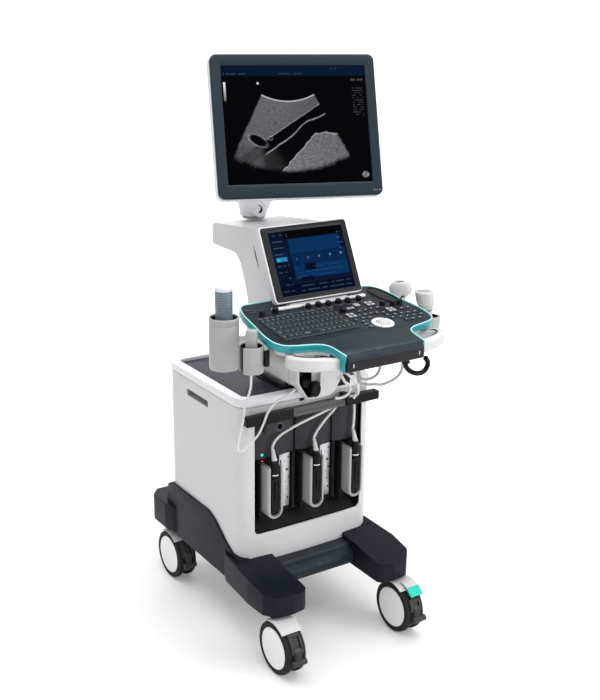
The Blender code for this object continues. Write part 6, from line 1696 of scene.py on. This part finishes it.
# ------------------------------------------------------------------ hanging cables
def cables():
    def hang(name, pts, r, mat, n=8, taper=None):
        c = [Vector(p) for p in catmull(pts, n)]
        tp = None
        if taper:
            m = len(c)
            tp = [taper(k / (m - 1)) for k in range(m)]
        return piece(name, wire(c, r, 4, tp), mat, None, smooth=60)

    # left probe: boot under the cup, a loop past the rim, up to the support block
    loop = [(-.2670, -.2700, .8330), (-.2650, -.2650, .8100), (-.2550, -.2450, .7750), (-.2360, -.2000, .7340), (-.2260, -.1680, .7000), (-.2245, -.1550, .6520),
            (-.2350, -.1550, .6100), (-.2390, -.1555, .5800), (-.2250, -.1555, .5740), (-.2030, -.1550, .5880), (-.1780, -.1545, .6080), (-.1630, -.1540, .6340),
            (-.1480, -.1540, .6640), (-.1250, -.1550, .6860), (-.0950, -.1620, .7000), (-.0720, -.1600, .7120)]
    ob = hang("probe_cable_left", loop, 0.0030, CABLE, 7, lambda t: 1.0 + 0.9 * max(0.0, 1 - t / 0.06))
    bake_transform(ob)
    boot = [Vector((-.2670, -.2700, .8600 - 0.0032 * k)) for k in range(14)]
    piece("probe_boot_left", wire(boot, 0.0088, 4, [1.0, 1.0, 1.0, .95, .92, .98, .86, .92, .80, .86, .74, .78, .66, .58]), PROBE, "linear_probe", smooth=60)

    # right cups: short cables fall from the probes and run under the console
    for nm, y in (("rear", -.150), ("front", -.270)):
        tail = [(.2700, y, .8330), (.2690, y + .002, .8080), (.2600, y + .006, .7900), (.2420, y + .010, .7880), (.2180, y + .012, .8030), (.1980, y + .012, .8280),
                (.1850, y + .012, .8500)]
        ob = hang("probe_cable_" + nm, tail, 0.0040, CABLE, 8, lambda t: 1.0 + 0.8 * max(0.0, 1 - t / 0.10))
        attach(ob, "console")
        bt = [Vector((.2700, y, .8600 - 0.0032 * k)) for k in range(14)]
        piece("probe_boot_" + nm, wire(bt, 0.0086, 4, [1.0, 1.0, 1.0, .95, .92, .98, .86, .92, .80, .86, .74, .78, .66, .58]), PROBE,
              "convex_probe" if nm == "rear" else "phased_probe", smooth=60)

    # loops hanging beside the support block
    a = hang("hook_loop_1", [(.0600, -.1500, .7350), (.0620, -.1790, .7290), (.0700, -.1810, .7140), (.0860, -.1820, .7010), (.0870, -.1820, .6850), (.0760, -.1820, .6740),
                             (.0570, -.1800, .6700), (.0440, -.1780, .6720)], 0.0036, CABLE)
    b = hang("hook_loop_2", [(.0700, -.1500, .7420), (.0780, -.1850, .7330), (.0920, -.1860, .7190), (.1050, -.1860, .7030), (.1120, -.1860, .6850),
                             (.1120, -.1800, .6690), (.1050, -.1600, .6600)], 0.0036, CABLE)
    c = hang("hook_loop_3", [(.0720, -.1300, .7450), (.0980, -.1700, .7380), (.1140, -.1800, .7150), (.1160, -.1800, .6850), (.1100, -.1700, .6560)], 0.0036, CABLE)
    for o in (a, b, c):
        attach(o, "lift")
    d = hang("under_loop_1", [(.0300, -.2850, .8300), (.0290, -.2950, .7950), (.0330, -.3000, .7670), (.0520, -.3000, .7590), (.0740, -.3000, .7610), (.0880, -.3000, .7700),
                              (.0960, -.2980, .7900), (.0980, -.2900, .8300)], 0.0036, CABLE_GREY)
    e = hang("under_loop_2", [(.0240, -.2900, .8300), (.0235, -.3000, .7900), (.0300, -.3020, .7570), (.0520, -.3020, .7460), (.0750, -.3020, .7420), (.1040, -.3020, .7370),
                              (.1440, -.3020, .7460), (.1640, -.3000, .7640), (.1700, -.2950, .7950), (.1700, -.2850, .8420)], 0.0036, CABLE_GREY)
    for o in (d, e):
        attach(o, "console")
    saddle = [cyl(0.0070, 0.0080, p, n=24, bevel=0.001) for p in ((.0300, -.2850, .8270), (.0975, -.2900, .8270))]
    piece("cable_anchor", box((0.0700, -0.1500, 0.6900), (0.1120, -0.1180, 0.7170), 0.003, 3), DARK, "lift", edge=0.0004)
    piece("cable_saddles", join(*saddle), DARK, "console")


cabinet()
base()
for tag, x, sy in (("front_left", -0.1925, -0.265), ("front_right", 0.1925, -0.265), ("rear_left", -0.1925, 0.331), ("rear_right", 0.1925, 0.331)):
    caster(tag, x, sy, tag == "front_right")
arm()
cables()

# ------------------------------------------------------------------ looks of the frame's own solids that stay in view
KEEP = {"belly_plate": DARK, "electronics_module": CASE, "power_supply": STEEL, "fan_rotor": DARK, "column_outer": ALLOY, "column_inner": ALLOY}
for node, mat in KEEP.items():
    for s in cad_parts[node].material_slots:
        s.link = 'OBJECT'
        s.material = mat

# ------------------------------------------------------------------ studio
me = bpy.data.meshes.new("floor")
bm = bmesh.new()
bmesh.ops.create_grid(bm, x_segments=4, y_segments=4, size=30.0)
bm.to_mesh(me)
bm.free()
floor = bpy.data.objects.new("floor", me)
scene.collection.objects.link(floor)
floor.location = (0, 0, -0.0002)
m, nt, bsdf = start_material("studio_floor")
bsdf.inputs["Base Color"].default_value = (0.90, 0.90, 0.90, 1)
bsdf.inputs["Roughness"].default_value = 0.9
bsdf.inputs["Specular IOR Level"].default_value = 0.10
lift_path = nt.nodes.new("ShaderNodeLightPath")
gain = nt.nodes.new("ShaderNodeMath")
gain.operation = 'MULTIPLY'
floor_pos = nt.nodes.new("ShaderNodeNewGeometry")
floor_len = nt.nodes.new("ShaderNodeVectorMath")
floor_len.operation = 'LENGTH'
nt.links.new(floor_pos.outputs["Position"], floor_len.inputs[0])
floor_map = nt.nodes.new("ShaderNodeMapRange")
for slot_name, value in (("From Min", 0.75), ("From Max", 2.6), ("To Min", 0.13), ("To Max", 0.75)):
    floor_map.inputs[slot_name].default_value = value
nt.links.new(floor_len.outputs["Value"], floor_map.inputs["Value"])
nt.links.new(floor_map.outputs["Result"], gain.inputs[1])
nt.links.new(lift_path.outputs["Is Camera Ray"], gain.inputs[0])
bsdf.inputs["Emission Color"].default_value = (1, 1, 1, 1)
nt.links.new(gain.outputs[0], bsdf.inputs["Emission Strength"])
floor.data.materials.append(m)

world = bpy.data.worlds.new("studio")
scene.world = world
world.use_nodes = True
wn = world.node_tree
bg = wn.nodes.get("Background") or wn.nodes.new("ShaderNodeBackground")
out = wn.nodes.get("World Output") or wn.nodes.new("ShaderNodeOutputWorld")
tc = wn.nodes.new("ShaderNodeTexCoord")
sep = wn.nodes.new("ShaderNodeSeparateXYZ")
ramp = wn.nodes.new("ShaderNodeValToRGB")
ramp.color_ramp.elements[0].position = 0.0
ramp.color_ramp.elements[0].color = (0.46, 0.46, 0.47, 1)
ramp.color_ramp.elements[1].position = 0.75
ramp.color_ramp.elements[1].color = (1.0, 1.0, 1.0, 1)
wn.links.new(tc.outputs["Generated"], sep.inputs[0])
wn.links.new(sep.outputs["Z"], ramp.inputs[0])
bg2 = wn.nodes.new("ShaderNodeBackground")
bg2.inputs["Color"].default_value = (1, 1, 1, 1)
bg2.inputs["Strength"].default_value = 1.05
lp = wn.nodes.new("ShaderNodeLightPath")
mixw = wn.nodes.new("ShaderNodeMixShader")
wn.links.new(ramp.outputs[0], bg.inputs["Color"])
bg.inputs["Strength"].default_value = 0.82
wn.links.new(lp.outputs["Is Camera Ray"], mixw.inputs[0])
wn.links.new(bg.outputs[0], mixw.inputs[1])
wn.links.new(bg2.outputs[0], mixw.inputs[2])
wn.links.new(mixw.outputs[0], out.inputs["Surface"])


def area(name, loc, target, size, power, colour=(1, 1, 1)):
    li = bpy.data.lights.new(name, 'AREA')
    li.shape = 'RECTANGLE'
    li.size, li.size_y = size
    li.energy = power
    li.color = colour
    ob = bpy.data.objects.new(name, li)
    scene.collection.objects.link(ob)
    ob.location = loc
    ob.rotation_euler = (Vector(target) - Vector(loc)).to_track_quat('-Z', 'Y').to_euler()
    return ob


area("overhead", (0.0, -0.4, 3.4), (0, 0, 0.6), (3.4, 3.4), 66)
area("key", (-2.4, -2.8, 2.6), (0, 0, 0.8), (1.8, 1.8), 5)
area("fill", (2.2, -3.0, 1.7), (0, 0, 0.8), (1.8, 1.8), 46)
area("back", (0.6, 3.0, 2.2), (0, 0, 0.9), (2.4, 1.6), 18)

AZ, EL, ROLL = math.radians(-33.419), math.radians(17.737), math.radians(0.679)
back = Vector((math.sin(AZ) * math.cos(EL), -math.cos(AZ) * math.cos(EL), math.sin(EL)))
right = Vector((math.cos(AZ), math.sin(AZ), 0.0))
up = back.cross(right)
r2 = right * math.cos(ROLL) + up * math.sin(ROLL)
u2 = up * math.cos(ROLL) - right * math.sin(ROLL)
cam = bpy.data.cameras.new("camera")
cam.lens = 56.216
cam.sensor_width = 36.0
cam.clip_end = 60.0
cam_ob = bpy.data.objects.new("camera", cam)
scene.collection.objects.link(cam_ob)
pos = Vector((-1.52184, -2.37922, 1.66672)) + SHIFT
cam_ob.matrix_world = Matrix(((r2.x, u2.x, back.x, pos.x), (r2.y, u2.y, back.y, pos.y), (r2.z, u2.z, back.z, pos.z), (0, 0, 0, 1)))
scene.camera = cam_ob
scene.view_settings.view_transform = 'Standard'

bpy.context.view_layer.update()
